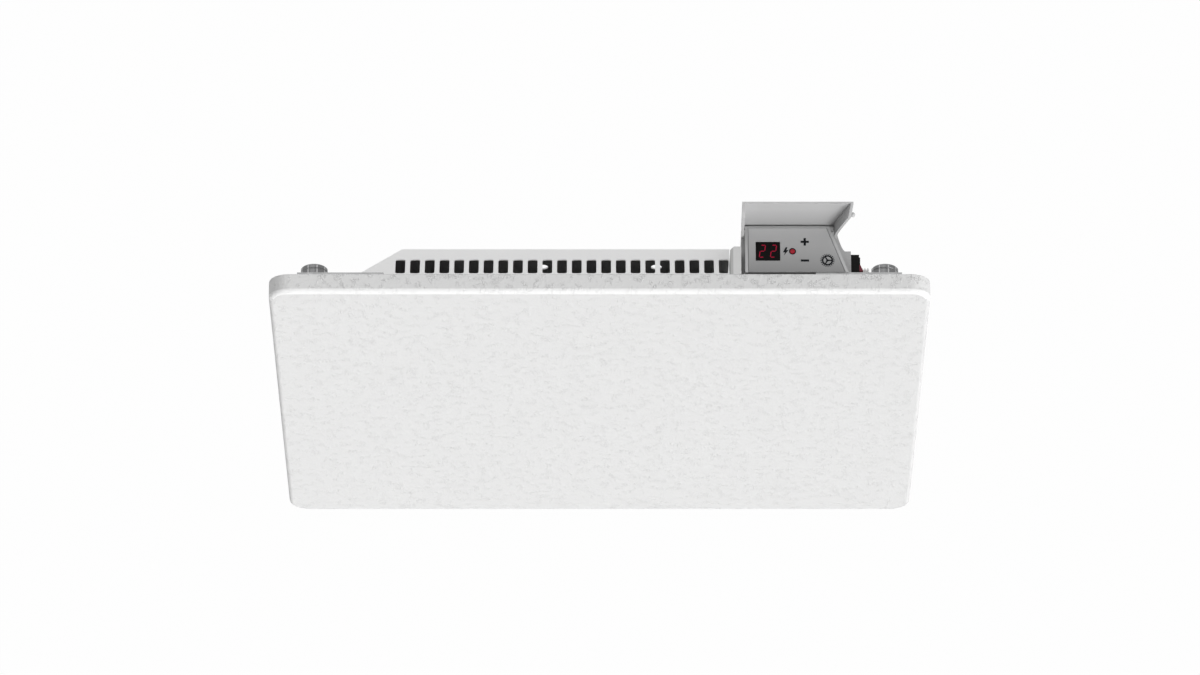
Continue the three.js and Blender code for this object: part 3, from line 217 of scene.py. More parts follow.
def make_wrinkle() -> ShaderGroup:
    """Wrinkled powder coat: short, bent ridges between flat islands.

    Returns:
        A group with Height and Flecks outputs.
    """
    warp_reach = 1.6 * MM
    ridge_width = 0.13
    island_scale = 0.35
    island_edge = (0.50, 0.58)
    group = ShaderGroup("wrinkle_coat", [
        GroupSocket("Vector", VECTOR),
        GroupSocket("Scale", FLOAT),
        GroupSocket("Height", FLOAT, is_output=True),
        GroupSocket("Flecks", FLOAT, is_output=True),
    ])
    tree, place, scale = group.tree, group.given("Vector"), group.given("Scale")
    warp = add_node(tree, "ShaderNodeTexNoise", {"Vector": place, "Scale": scale, "Detail": 2.0})
    bent = add_node(tree, "ShaderNodeVectorMath",
                    {0: warp.outputs["Color"], 1: (warp_reach, warp_reach, warp_reach), 2: place},
                    operation="MULTIPLY_ADD")
    cells = add_node(tree, "ShaderNodeTexVoronoi", {"Vector": bent.outputs["Vector"], "Scale": scale},
                     feature="DISTANCE_TO_EDGE")
    ridge = ranged(tree, cells.outputs["Distance"], (0.0, ridge_width), (1.0, 0.0))
    coarse = maths(tree, "MULTIPLY", scale, island_scale)
    islands = add_node(tree, "ShaderNodeTexNoise", {"Vector": place, "Scale": coarse, "Detail": 3.0})
    patch = ranged(tree, islands.outputs["Fac"], island_edge, (0.0, 1.0))
    flecks = maths(tree, "MULTIPLY", ridge, patch)
    group.give("Height", maths(tree, "ADD", flecks, warp.outputs["Fac"]))
    group.give("Flecks", flecks)
    return group


def make_mottle() -> ShaderGroup:
    """Slow, faint drift of a colour over a surface.

    Returns:
        A group with a Color output.
    """
    middle = 0.5
    group = ShaderGroup("colour_mottle", [
        GroupSocket("Vector", VECTOR),
        GroupSocket("Color", COLOUR),
        GroupSocket("Scale", FLOAT),
        GroupSocket("Amount", FLOAT),
        GroupSocket("Color", COLOUR, is_output=True),
    ])
    tree = group.tree
    noise = add_node(tree, "ShaderNodeTexNoise",
                     {"Vector": group.given("Vector"), "Scale": group.given("Scale"), "Detail": 4.0})
    centred = maths(tree, "SUBTRACT", noise.outputs["Fac"], middle)
    share = maths(tree, "MULTIPLY_ADD", centred, group.given("Amount"), 1.0)
    group.give("Color", scaled_colour(tree, group.given("Color"), share))
    return group


def make_streaks() -> ShaderGroup:
    """Brushing or drawing marks: noise stretched along one direction.

    Returns:
        A group with a Height output.
    """
    group = ShaderGroup("drawn_streaks", [
        GroupSocket("Vector", VECTOR),
        GroupSocket("Stretch", VECTOR),
        GroupSocket("Height", FLOAT, is_output=True),
    ])
    tree = group.tree
    scaled = add_node(tree, "ShaderNodeVectorMath", {0: group.given("Vector"), 1: group.given("Stretch")},
                      operation="MULTIPLY")
    noise = add_node(tree, "ShaderNodeTexNoise",
                     {"Vector": scaled.outputs["Vector"], "Scale": 1.0, "Detail": 3.0})
    group.give("Height", noise.outputs["Fac"])
    return group


def make_edge_wear_and_highlight() -> ShaderGroup:
    """Rubbed edges and painted edge highlights: a mask that follows the mesh's sharp convex places.

    Returns:
        A group with a Mask output.
    """
    sharp_places = (0.52, 0.62)
    break_scale = 260.0
    group = ShaderGroup("edge_wear_and_highlight", [
        GroupSocket("Vector", VECTOR),
        GroupSocket("Amount", FLOAT),
        GroupSocket("Mask", FLOAT, is_output=True),
    ])
    tree = group.tree
    pointed = add_node(tree, "ShaderNodeNewGeometry").outputs["Pointiness"]
    sharp = ranged(tree, pointed, sharp_places, (0.0, 1.0))
    noise = add_node(tree, "ShaderNodeTexNoise", {"Vector": group.given("Vector"), "Scale": break_scale})
    broken = maths(tree, "MULTIPLY", sharp, noise.outputs["Fac"])
    group.give("Mask", maths(tree, "MULTIPLY", broken, group.given("Amount"), clamp=True))
    return group


# ------------------------------------------------------------------ finishes


MOTTLE_SCALE = 28.0
WORN_AND_LIT_GAIN = 1.5
WORN_AND_LIT_LIFT = 0.05
ROUGHNESS_SPREAD = 0.06
METAL_SPREAD = 0.1
LEAST_ROUGHNESS = 0.03
NOISE_DETAIL = {Texture.SMOOTH_PAINT: 5.0, Texture.GRAIN: 5.0, Texture.POLISHED: 2.0}


@dataclass(frozen=True)
class PaintedLightRamp:
    """Painted light and shade: a factor on a colour that changes along a row axis.

    Attributes:
        axis: the axis.
        start: where the change starts, in metres.
        end: where it ends, in metres.
        low: factor at the start.
        high: factor at the end.
    """

    axis: Axis
    start: float
    end: float
    low: float
    high: float


@dataclass(frozen=True)
class Finish:
    """A procedural surface finish.

    Attributes:
        name: the finish's name, which the material's name starts with.
        colour: linear base colour.
        roughness: mean roughness.
        metallic: 0 for paint and plastic, 1 for bare metal.
        texture: the relief it carries.
        scale: the relief's scale, in cycles per metre.
        bump: the relief's height in metres.
        mottle: how far the colour drifts.
        wear_and_highlight: how far sharp edges lighten, from rubbing and as a painted edge highlight.
        coat: clear coat weight.
        stretch: scale along X, Y and Z of brushed marks.
        emission: strength of the surface's own light.
        specular: specular level of the Principled shader.
        flecks: how far the relief's flecks darken the colour, or lighten it below zero; lightening them
            paints light onto the wrinkle ridges.
        painted_light: painted light and shade, given as a change of the colour along an axis.
    """

    name: str
    colour: tuple[float, float, float]
    roughness: float = 0.5
    metallic: float = 0.0
    texture: Texture = Texture.GRAIN
    scale: float = 1800.0
    bump: float = 0.00001
    mottle: float = 0.04
    wear_and_highlight: float = 0.25
    coat: float = 0.0
    stretch: tuple[float, float, float] = (900.0, 20.0, 900.0)
    emission: float = 0.0
    specular: float = 0.5
    flecks: float = 0.0
    painted_light: Optional[PaintedLightRamp] = None

    def build(self) -> bpy.types.Material:
        """Makes the material, or returns the one already made.

        Returns:
            The Blender material.
        """
        label = f"{self.name}_finish"
        made = bpy.data.materials.get(label)
        if made is not None:
            return made
        material = bpy.data.materials.new(label)
        material.use_nodes = True
        tree = material.node_tree
        shader = tree.nodes["Principled BSDF"]
        place = add_node(tree, "ShaderNodeTexCoord").outputs["Object"]
        height, fine = self._relief(tree, place)
        colour = self._colour(tree, place, fine)
        bump = add_node(tree, "ShaderNodeBump", {"Height": height, "Distance": self.bump, "Strength": 1.0})
        fill_inputs(tree, shader, {
            "Base Color": colour,
            "Roughness": self._roughness(tree, fine),
            "Metallic": self.metallic,
            "Specular IOR Level": self.specular,
            "Coat Weight": self.coat,
            "Normal": bump.outputs["Normal"],
        })
        if self.emission > 0:
            fill_inputs(tree, shader, {"Emission Color": colour, "Emission Strength": self.emission})
        return material

    def _colour(self, tree: Tree, place: Socket, fine: Socket) -> Socket:
        """Colour that drifts a little, changes in flecks (painted light on wrinkle ridges), lightens on
        sharp edges from rubbing and as painted edge highlight, and takes painted light and shade along an
        axis.

        Args:
            tree: the material's tree.
            place: the coordinate socket.
            fine: the relief's fine mask.

        Returns:
            A colour socket.
        """
        mottle = add_node(tree, "ShaderNodeGroup", {
            "Vector": place, "Color": (*self.colour, 1.0), "Scale": MOTTLE_SCALE, "Amount": self.mottle,
        }, node_tree=ShaderGroup.get(make_mottle))
        # Sharp edges lighten: rubbed edges, and a painted edge highlight where the amount is high.
        wear_and_highlight = add_node(tree, "ShaderNodeGroup", {"Vector": place, "Amount": self.wear_and_highlight},
                        node_tree=ShaderGroup.get(make_edge_wear_and_highlight))
        worn_and_lit = [min(1.0, part * WORN_AND_LIT_GAIN + WORN_AND_LIT_LIFT) for part in self.colour]
        lighter = add_node(tree, "ShaderNodeMix", {
            "Factor": wear_and_highlight.outputs["Mask"], "A": mottle.outputs["Color"], "B": (*worn_and_lit, 1.0),
        }, data_type="RGBA")
        colour = lighter.outputs["Result"]
        if self.flecks != 0:
            factor = ranged(tree, fine, (0.0, 1.0), (1.0, 1.0 - self.flecks))
            colour = scaled_colour(tree, colour, factor)
        # Painted light and shade: the colour is scaled along one axis.
        if self.painted_light is not None:
            painted_light = self.painted_light
            parts = add_node(tree, "ShaderNodeSeparateXYZ", {"Vector": place})
            along = parts.outputs[painted_light.axis.value]
            factor = ranged(tree, along, (painted_light.start, painted_light.end), (painted_light.low, painted_light.high))
            colour = scaled_colour(tree, colour, factor)
        return colour

    def _relief(self, tree: Tree, place: Socket) -> tuple[Socket, Socket]:
        """The relief's height, and a fine mask that the roughness follows.

        Args:
            tree: the material's tree.
            place: the coordinate socket.

        Returns:
            Height and mask sockets.
        """
        if self.texture is Texture.WRINKLE:
            node = add_node(tree, "ShaderNodeGroup", {"Vector": place, "Scale": self.scale},
                            node_tree=ShaderGroup.get(make_wrinkle))
            return node.outputs["Height"], node.outputs["Flecks"]
        if self.texture is Texture.BRUSHED:
            node = add_node(tree, "ShaderNodeGroup", {"Vector": place, "Stretch": self.stretch},
                            node_tree=ShaderGroup.get(make_streaks))
            return node.outputs["Height"], node.outputs["Height"]
        if self.texture is Texture.SPANGLE:
            cells = add_node(tree, "ShaderNodeTexVoronoi", {"Vector": place, "Scale": self.scale})
            grey = add_node(tree, "ShaderNodeRGBToBW", {"Color": cells.outputs["Color"]})
            return cells.outputs["Distance"], grey.outputs["Val"]
        noise = add_node(tree, "ShaderNodeTexNoise",
                         {"Vector": place, "Scale": self.scale, "Detail": NOISE_DETAIL[self.texture]})
        return noise.outputs["Fac"], noise.outputs["Fac"]

    def _roughness(self, tree: Tree, fine: Socket) -> Socket:
        """Roughness that varies a little with the relief.

        Args:
            tree: the material's tree.
            fine: the relief's fine mask.

        Returns:
            The roughness socket.
        """
        spread = ROUGHNESS_SPREAD + METAL_SPREAD * self.metallic
        ends = (max(LEAST_ROUGHNESS, self.roughness - spread), min(1.0, self.roughness + spread))
        return ranged(tree, fine, (0.0, 1.0), ends)


# Negative flecks lighten the wrinkle ridges: painted light on the relief of the coat.
WHITE_COAT = Finish("white_coat", (0.76, 0.76, 0.758), 0.6, texture=Texture.WRINKLE, scale=560.0,
                    bump=0.0003, mottle=0.02, wear_and_highlight=0.1, specular=0.4, flecks=-0.14)
WHITE_FRONT = Finish("white_front", (0.74, 0.74, 0.738), 0.6, texture=Texture.WRINKLE, scale=430.0,
                     bump=0.00022, mottle=0.02, wear_and_highlight=0.0, specular=0.3, flecks=-0.05)
# Painted highlight: the panel's top front bend gets a much lighter white than the rest of the coat,
# standing for the light's sheen along it.
WHITE_EDGE_HIGHLIGHT = Finish("white_edge_highlight", (0.93, 0.93, 0.928), 0.42, texture=Texture.WRINKLE, scale=430.0,
                    bump=0.00018, mottle=0.02, wear_and_highlight=0.0, specular=0.5, flecks=-0.03)
PALE_PAINT = Finish("pale_paint", (0.95, 0.95, 0.948), 0.45, texture=Texture.SMOOTH_PAINT, scale=900.0,
                    bump=0.000012, mottle=0.03, wear_and_highlight=0.1, specular=0.4)
# Painted shade darkens the wiring box's sloped left face, left of X 90.6 mm, and painted light brightens
# the rest of it.
BOX_PAINT = Finish("box_paint", (0.62, 0.62, 0.615), 0.5, texture=Texture.SMOOTH_PAINT, scale=700.0,
                   bump=0.00003, mottle=0.05, wear_and_highlight=0.1, specular=0.4,
                   painted_light=PaintedLightRamp(Axis.X, start=0.0906, end=0.0911, low=0.72, high=1.04))
# Darker grey for the insides of panel and casing: partly their plain inner metal and partly painted shade
# that keeps the slots dark; the heat shield uses it too.
HEAT_GREY_AND_SHADE = Finish("heat_grey_and_shade", (0.42, 0.42, 0.422), 0.8, texture=Texture.GRAIN, scale=700.0,
                    bump=0.00002, wear_and_highlight=0.0)
ZINC = Finish("zinc", (0.34, 0.342, 0.345), 0.42, metallic=0.75, texture=Texture.SPANGLE, scale=160.0,
              bump=0.000006, mottle=0.12)
STEEL = Finish("steel", (0.165, 0.166, 0.168), 0.34, metallic=1.0, texture=Texture.BRUSHED,
               bump=0.00002, stretch=(1400.0, 14.0, 1400.0), mottle=0.15)
# Lighter steel for narrow stripes along the posts: painted reflections.
STEEL_REFLECTION_STRIPE = Finish("steel_reflection_stripe", (0.42, 0.42, 0.425), 0.3, metallic=1.0, texture=Texture.BRUSHED,
                    bump=0.00001, stretch=(1400.0, 14.0, 1400.0), mottle=0.2)
# High wear on the grey plastics, most of all on the lid, lightens their edges as a painted edge highlight
# as well as rubbed wear.
GREY_PLASTIC = Finish("grey_plastic", (0.44, 0.44, 0.442), 0.5, scale=2400.0, bump=0.00001,
                      mottle=0.02, wear_and_highlight=0.5)
# The control face is the housing's grey plastic painted lighter, with painted shade that darkens it
# towards the front.
GREY_COVER = Finish("grey_cover", (0.545, 0.545, 0.547), 0.5, scale=2400.0, bump=0.00001, mottle=0.02,
                    wear_and_highlight=0.1, painted_light=PaintedLightRamp(Axis.Y, start=-0.041, end=-0.006, low=0.39, high=1.0))
# The lid is the housing's grey plastic painted lighter, with painted shade that darkens it lower down,
# towards the hinge.
GREY_LID = Finish("grey_lid", (0.51, 0.51, 0.512), 0.5, scale=2400.0, bump=0.00001, mottle=0.02,
                  wear_and_highlight=0.6, painted_light=PaintedLightRamp(Axis.Z, start=0.187, end=0.212, low=0.72, high=1.0))
BLACK_PLASTIC = Finish("black_plastic", (0.008, 0.008, 0.008), 0.55, scale=2400.0, bump=0.00001,
                       wear_and_highlight=0.1, specular=0.08)
PRINT_BLACK = Finish("print_black", (0.006, 0.007, 0.009), 0.6, scale=3000.0, bump=0.000003, wear_and_highlight=0.0,
                     specular=0.1)
WINDOW_DARK = Finish("window_dark", (0.007, 0.006, 0.006), 0.25, texture=Texture.POLISHED, scale=300.0,
                     bump=0.000002, mottle=0.02, wear_and_highlight=0.0, specular=0.03)
DIGIT_RED = Finish("digit_red", (0.31, 0.006, 0.03), 0.4, texture=Texture.POLISHED, scale=900.0,
                   bump=0.000002, mottle=0.1, wear_and_highlight=0.0, emission=0.25, specular=0.1)
LAMP_RED = Finish("lamp_red", (0.33, 0.008, 0.020), 0.45, texture=Texture.POLISHED, scale=900.0,
                  bump=0.000004, mottle=0.15, wear_and_highlight=0.0, emission=0.1, specular=0.3)
RED_PLASTIC = Finish("red_plastic", (0.20, 0.022, 0.04), 0.35, texture=Texture.POLISHED, scale=600.0,
                     bump=0.000004, specular=0.3)
WHITE_NYLON = Finish("white_nylon", (0.86, 0.86, 0.85), 0.42, scale=1500.0, bump=0.000008)
FIN_METAL = Finish("fin_metal", (0.50, 0.50, 0.502), 0.6, metallic=0.2, texture=Texture.BRUSHED,
                   bump=0.00001, stretch=(900.0, 900.0, 40.0))
BOARD_GREEN = Finish("board_green", (0.015, 0.10, 0.05), 0.35, scale=1500.0, bump=0.000006, coat=0.3)
LEAD_SLEEVE = Finish("lead_sleeve", (0.40, 0.06, 0.04), 0.6, scale=2600.0, bump=0.00002)


# --------------------------------------------------------------- mesh helpers


SAME_CORNER = 2e-6
SAME_POINT = 1e-6
SAME_PLACE = 1e-5
FLAT_ANGLE = math.radians(0.8)
FLAT_WEIGHT = 90


def finished(bm: bmesh.types.BMesh, name: str, *finishes: Finish,
             angle: float = 35.0) -> bpy.types.Object:
    """Turns a bmesh into an object at the origin, smooth over its rounds and plain on its flats.

    Args:
        bm: the shape, freed here.
        name: the piece's name.
        finishes: its materials, in order.
        angle: edges sharper than this many degrees stay sharp.

    Returns:
        The new object.
    """
    mesh = bpy.data.meshes.new(name)
    bm.to_mesh(mesh)
    bm.free()
    mesh.shade_smooth()
    mesh.set_sharp_from_angle(angle=math.radians(angle))
    obj = bpy.data.objects.new(name, mesh)
    bpy.context.scene.collection.objects.link(obj)
    for finish in finishes:
        mesh.materials.append(finish.build())
    flat = obj.modifiers.new("flat_faces", "WEIGHTED_NORMAL")
    flat.keep_sharp = True
    flat.weight = FLAT_WEIGHT
    return obj


def merged_copy(node: str) -> bmesh.types.BMesh:
    """A CAD node's mesh with shared corners merged and flat faces joined.

    Args:
        node: the CAD node's name.

    Returns:
        A bmesh copy; the node itself isn't touched.
    """
    bm = bmesh.new()
    bm.from_mesh(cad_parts[node].data)
    bmesh.ops.remove_doubles(bm, verts=bm.verts, dist=SAME_CORNER)
    bmesh.ops.dissolve_limit(bm, angle_limit=FLAT_ANGLE, verts=bm.verts, edges=bm.edges)
    return bm


def lies_at(edge: bmesh.types.BMEdge, place: float) -> bool:
    """Whether an edge lies in the plane Y = place."""
    return all(abs(vert.co.y - place) < SAME_PLACE for vert in edge.verts)


def soften(bm: bmesh.types.BMesh, width: float, segments: int = 2, least_angle: float = 40.0,
           keep: Optional[Callable[[bmesh.types.BMEdge], bool]] = None) -> None:
    """Rounds the convex edges of a shape, as a moulding or a fold does.

    Args:
        bm: the shape.
        width: the round's width in metres.
        segments: faces across the round.
        least_angle: edges flatter than this many degrees are left.
        keep: an extra test that an edge must pass.
    """
    chosen = []
    for edge in bm.edges:
        if len(edge.link_faces) != 2 or not edge.is_convex:
            continue
        if edge.calc_face_angle(0.0) < math.radians(least_angle):
            continue
        if keep is not None and not keep(edge):
            continue
        chosen.append(edge)
    bmesh.ops.bevel(bm, geom=chosen, offset=width, offset_type="OFFSET", affect="EDGES",
                    segments=segments, profile=0.5, material=-1, clamp_overlap=True)


def softened(node: str, finish: Finish, width: float, segments: int = 2,
             least_angle: float = 40.0) -> bpy.types.Object:
    """A moulded or folded copy of a CAD node that stands for it.

    Args:
        node: the CAD node.
        finish: its finish.
        width: the edge round in metres.
        segments: faces across the round.
        least_angle: edges flatter than this many degrees are left.

    Returns:
        The new piece.
    """
    bm = merged_copy(node)
    soften(bm, width, segments, least_angle)
    obj = finished(bm, f"{node}_skin", finish)
    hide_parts(node)
    return obj


def ride(obj: bpy.types.Object, body: str) -> bpy.types.Object:
    """Makes a piece move with a body.

    Args:
        obj: the piece.
        body: the body that it moves with.

    Returns:
        The piece.
    """
    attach(obj, body)
    log.info("piece %s on %s", obj.name, body)
    return obj


def dress(node: str, finish: Finish) -> None:
    """Gives a CAD node that stays its procedural finish.

    Args:
        node: the CAD node's name.
        finish: its finish.
    """
    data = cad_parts[node].data
    if not data.materials:
        data.materials.append(finish.build())
    for index in range(len(data.materials)):
        data.materials[index] = finish.build()
    log.info("dressed %s with %s", node, finish.name)


def box_centre(node: str) -> Vector:
    """The middle of a CAD node's box."""
    low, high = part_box(node)
    return (low + high) / 2


# -------------------------------------------------------------- sub-assemblies


class PanelFace(Enum):
    """The panel's finishes, by their place among its materials."""

    COAT = 0
    INSIDE = 1
    FRONT = 2
    TOP_BEND_HIGHLIGHT = 3


@dataclass
class FrontPanel:
    """The pressed front tray, wrinkle-coated outside and darker grey inside, partly as plain metal and
    partly as painted shade.
    """

    node: str = "front_panel"
    fold_radius: float = 0.7 * MM
    fold_angle: float = 60.0
    sheet_depth: float = 0.9 * MM
    fold_depth: float = 1 * MM
    rim_depth: float = 2 * MM
    back_lean: float = 0.3
    inward_lean: float = 0.02
    front_lean: float = 0.1
    top_lean: float = 0.05

    def build(self) -> None:
        """Makes the panel's skin with a rounded rear fold, a painted highlight on its top bend and a
        darker grey inside that is partly painted shade.
        """
        low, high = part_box(self.node)
        bm = merged_copy(self.node)
        soften(bm, self.fold_radius, least_angle=self.fold_angle,
               keep=lambda edge: lies_at(edge, high.y))
        for face in bm.faces:
            face.material_index = self._finish_of(face, low.y, high.y).value
        panel = finished(bm, "front_panel_skin", WHITE_COAT, HEAT_GREY_AND_SHADE, WHITE_FRONT, WHITE_EDGE_HIGHLIGHT)
        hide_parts(self.node)
        ride(panel, "body")

    def _finish_of(self, face: bmesh.types.BMFace, front: float, rear: float) -> PanelFace:
        """Which finish a face of the panel gets.

        Args:
            face: the face.
            front: Y of the panel's front.
            rear: Y of its rear edge.

        Returns:
            The finish's place.
        """
        centre = face.calc_center_median()
        faces_back = face.normal.y > self.back_lean and centre.y < rear - self.rim_depth
        faces_in = face.normal.dot(-centre) > self.inward_lean
        within = front + self.sheet_depth < centre.y < rear - self.fold_depth
        if faces_back or (faces_in and within):
            return PanelFace.INSIDE
        if face.normal.y >= -self.front_lean:
            return PanelFace.COAT
        # Faces of the top bend get the painted highlight; the rest of the front gets the front coat.
        return PanelFace.TOP_BEND_HIGHLIGHT if face.normal.z > self.top_lean else PanelFace.FRONT


@dataclass
class Casing:
    """The tapered convector casing with its slots, wiring box, rails and screws."""

    node: str = "rear_casing"
    fold_radius: float = 0.8 * MM
    fold_angle: float = 15.0
    fold_length: float = 20 * MM
    lip: float = 0.4 * MM
    inward_lean: float = 0.1
    least_skin_area: float = 30e-6
    smooth_angle: float = 30.0
    box_round: float = 0.2 * MM
    rail_round: float = 0.25 * MM
    screw_round: float = 0.2 * MM
    screw_angle: float = 50.0
    head_lean: float = 0.95
    recess_rim: float = 0.5 * MM
    recess_depth: float = 0.9 * MM
    recess_waist: float = 0.585
    screws: list[str] = field(default_factory=lambda: [f"casing_screw_{i}" for i in range(1, 8)])

    def build(self) -> None:
        """Makes the casing's skin, the wiring box and the fasteners."""
        self._tray()
        ride(softened("wiring_box", BOX_PAINT, self.box_round), "body")
        for node in ("left_rail", "right_rail"):
            ride(softened(node, ZINC, self.rail_round, segments=1), "body")
        for node in self.screws:
            self._screw(node)

    def _tray(self) -> None:
        """The casing itself: painted outside, darker grey inside as plain metal and as painted shade seen
        through the slots, with rounded rear folds.
        """
        low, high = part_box(self.node)
        bm = merged_copy(self.node)
        soften(bm, self.fold_radius, least_angle=self.fold_angle,
               keep=lambda edge: lies_at(edge, high.y) and edge.calc_length() > self.fold_length)
        opening = Vector((0.0, low.y, 0.0))
        for face in bm.faces:
            centre = face.calc_center_median()
            inward = (opening - centre).normalized().dot(face.normal) > self.inward_lean
            behind_lip = centre.y > low.y + self.lip
            large = face.calc_area() > self.least_skin_area
            face.material_index = 1 if inward and behind_lip and large else 0
        tray = finished(bm, "rear_casing_skin", PALE_PAINT, HEAT_GREY_AND_SHADE, angle=self.smooth_angle)
        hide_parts(self.node)
        ride(tray, "body")

    def _screw(self, node: str) -> None:
        """A pan head with a cross recess on the screw's shank.

        Args:
            node: the CAD screw that it stands for.
        """
        bm = merged_copy(node)
        soften(bm, self.screw_round, least_angle=self.screw_angle)
        self._cut_cross(bm, box_centre(node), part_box(node)[1].y)
        screw = finished(bm, f"{node}_skin", ZINC)
        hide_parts(node)
        ride(screw, "body")

    def _cut_cross(self, bm: bmesh.types.BMesh, centre: Vector, top: float) -> None:
        """Presses a cross recess into a screw head that faces +Y.

        Args:
            bm: the screw.
            centre: a point on its axis.
            top: Y of the head's flat end.
        """
        heads = [f for f in bm.faces
                 if f.normal.y > self.head_lean and abs(f.calc_center_median().y - top) < SAME_PLACE]
        bmesh.ops.inset_individual(bm, faces=heads, thickness=self.recess_rim, depth=0.0)
        pressed = bmesh.ops.extrude_discrete_faces(bm, faces=heads)
        for vert in {vert for face in pressed["faces"] for vert in face.verts}:
            across = Vector((vert.co.x - centre.x, 0, vert.co.z - centre.z))
            arm = abs(math.cos(2 * math.atan2(across.z, across.x)))
            vert.co -= across * self.recess_waist * (1 - arm)
            vert.co.y -= self.recess_depth


@dataclass
class WallPosts:
    """The four turned posts that hold the heater off the wall."""

    steps: int = 64
    chamfer: float = 0.9 * MM
    bore_radius: float = 3.25 * MM
    bore_depth: float = 12 * MM
    bore_chamfer: float = 0.4 * MM
    drill_point: float = 1.5 * MM
    groove_depth: float = 0.25 * MM
    groove_place: float = 2.9 * MM
    groove_width: float = 1.1 * MM
    groove_slope: float = 0.3 * MM
    # Angles round each post of its stripes of painted reflection, and their half width.
    reflection_angles: tuple[float, ...] = tuple(math.radians(a) for a in (-115, -64, -27, 14, 56, 102, 165))
    reflection_half_width: float = math.radians(2.9)
    side_lean: float = 0.1

    def build(self) -> None:
        """Turns each post and places it on its CAD node."""
        for level in ("upper", "lower"):
            for side in ("left", "right"):
                node = f"wall_post_{level}_{side}"
                ride(self._turn(node), "body")
                dress(f"post_screw_{level}_{side}", STEEL)

    def _profile(self, radius: float, front: float, rear: float) -> list[Pair]:
        """Half of a post's outline, with its groove, chamfers and bore.

        Args:
            radius: the post's radius.
            front: Y of its front end.
            rear: Y of its rear end.

        Returns:
            Pairs of radius and place along the axis.
        """
        groove_start = rear - self.groove_place
        groove_end = groove_start - self.groove_width
        return [
            (0.0, front),
            (radius - self.chamfer, front),
            (radius, front + self.chamfer),
            (radius, groove_end),
            (radius - self.groove_depth, groove_end + self.groove_slope),
            (radius - self.groove_depth, groove_start - self.groove_slope),
            (radius, groove_start),
            (radius, rear - self.chamfer),
            (radius - self.chamfer, rear),
            (self.bore_radius + self.bore_chamfer, rear),
            (self.bore_radius, rear - self.bore_chamfer),
            (self.bore_radius, rear - self.bore_depth),
            (0.0, rear - self.bore_depth - self.drill_point),
        ]

    def _turn(self, node: str) -> bpy.types.Object:
        """Spins one post's profile round its own axis and lays lighter stripes along it as painted
        reflections.

        Args:
            node: the CAD post that it stands for.

        Returns:
            The post.
        """
        low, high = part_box(node)
        centre = (low + high) / 2
        profile = self._profile((high.x - low.x) / 2, low.y, high.y)
        post = spun(f"{node}_skin", profile, centre, Axis.Y, self.steps, STEEL, node)
        post.data.materials.append(STEEL_REFLECTION_STRIPE.build())
        for face in post.data.polygons:
            out = face.center - centre
            angle = math.atan2(out.x, out.z)
            around = abs(face.normal.y) < self.side_lean
            near = any(abs(angle - line) < self.reflection_half_width for line in self.reflection_angles)
            face.material_index = 1 if around and near else 0
        return post


def spun(name: str, profile: list[tuple[float, float]], centre: Vector, axis: Axis, steps: int,
         finish: Finish, *nodes: str) -> bpy.types.Object:
    """A body of revolution about a line parallel to a row axis.

    Args:
        name: the piece's name.
        profile: pairs of radius and place along the axis.
        centre: a point on the axis.
        axis: the row axis.
        steps: sides of the turn.
        finish: its finish.
        nodes: CAD nodes that it stands for.

    Returns:
        The piece.
    """
    bm = bmesh.new()
    across = Vector((0, 0, 1)) if axis is not Axis.Z else Vector((1, 0, 0))
    direction = Vector([1.0 if i == axis.value else 0.0 for i in range(3)])
    base = centre - direction * centre.dot(direction)
    verts = [bm.verts.new(base + direction * place + across * radius) for radius, place in profile]
    edges = [bm.edges.new(pair) for pair in zip(verts, verts[1:])]
    bmesh.ops.spin(bm, geom=verts + edges, cent=base, axis=direction, angle=math.tau, steps=steps,
                   use_merge=True)
    bmesh.ops.remove_doubles(bm, verts=bm.verts, dist=SAME_POINT)
    bmesh.ops.recalc_face_normals(bm, faces=bm.faces)
    obj = finished(bm, name, finish)
    if nodes:
        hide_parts(*nodes)
    return obj


class Segment(Enum):
    """The strokes of a seven-segment digit."""

    TOP = "top"
    TOP_LEFT = "top_left"
    TOP_RIGHT = "top_right"
    MIDDLE = "middle"
    BOTTOM_LEFT = "bottom_left"
    BOTTOM_RIGHT = "bottom_right"
    BOTTOM = "bottom"


TWO = (Segment.TOP, Segment.TOP_RIGHT, Segment.MIDDLE, Segment.BOTTOM_LEFT, Segment.BOTTOM)


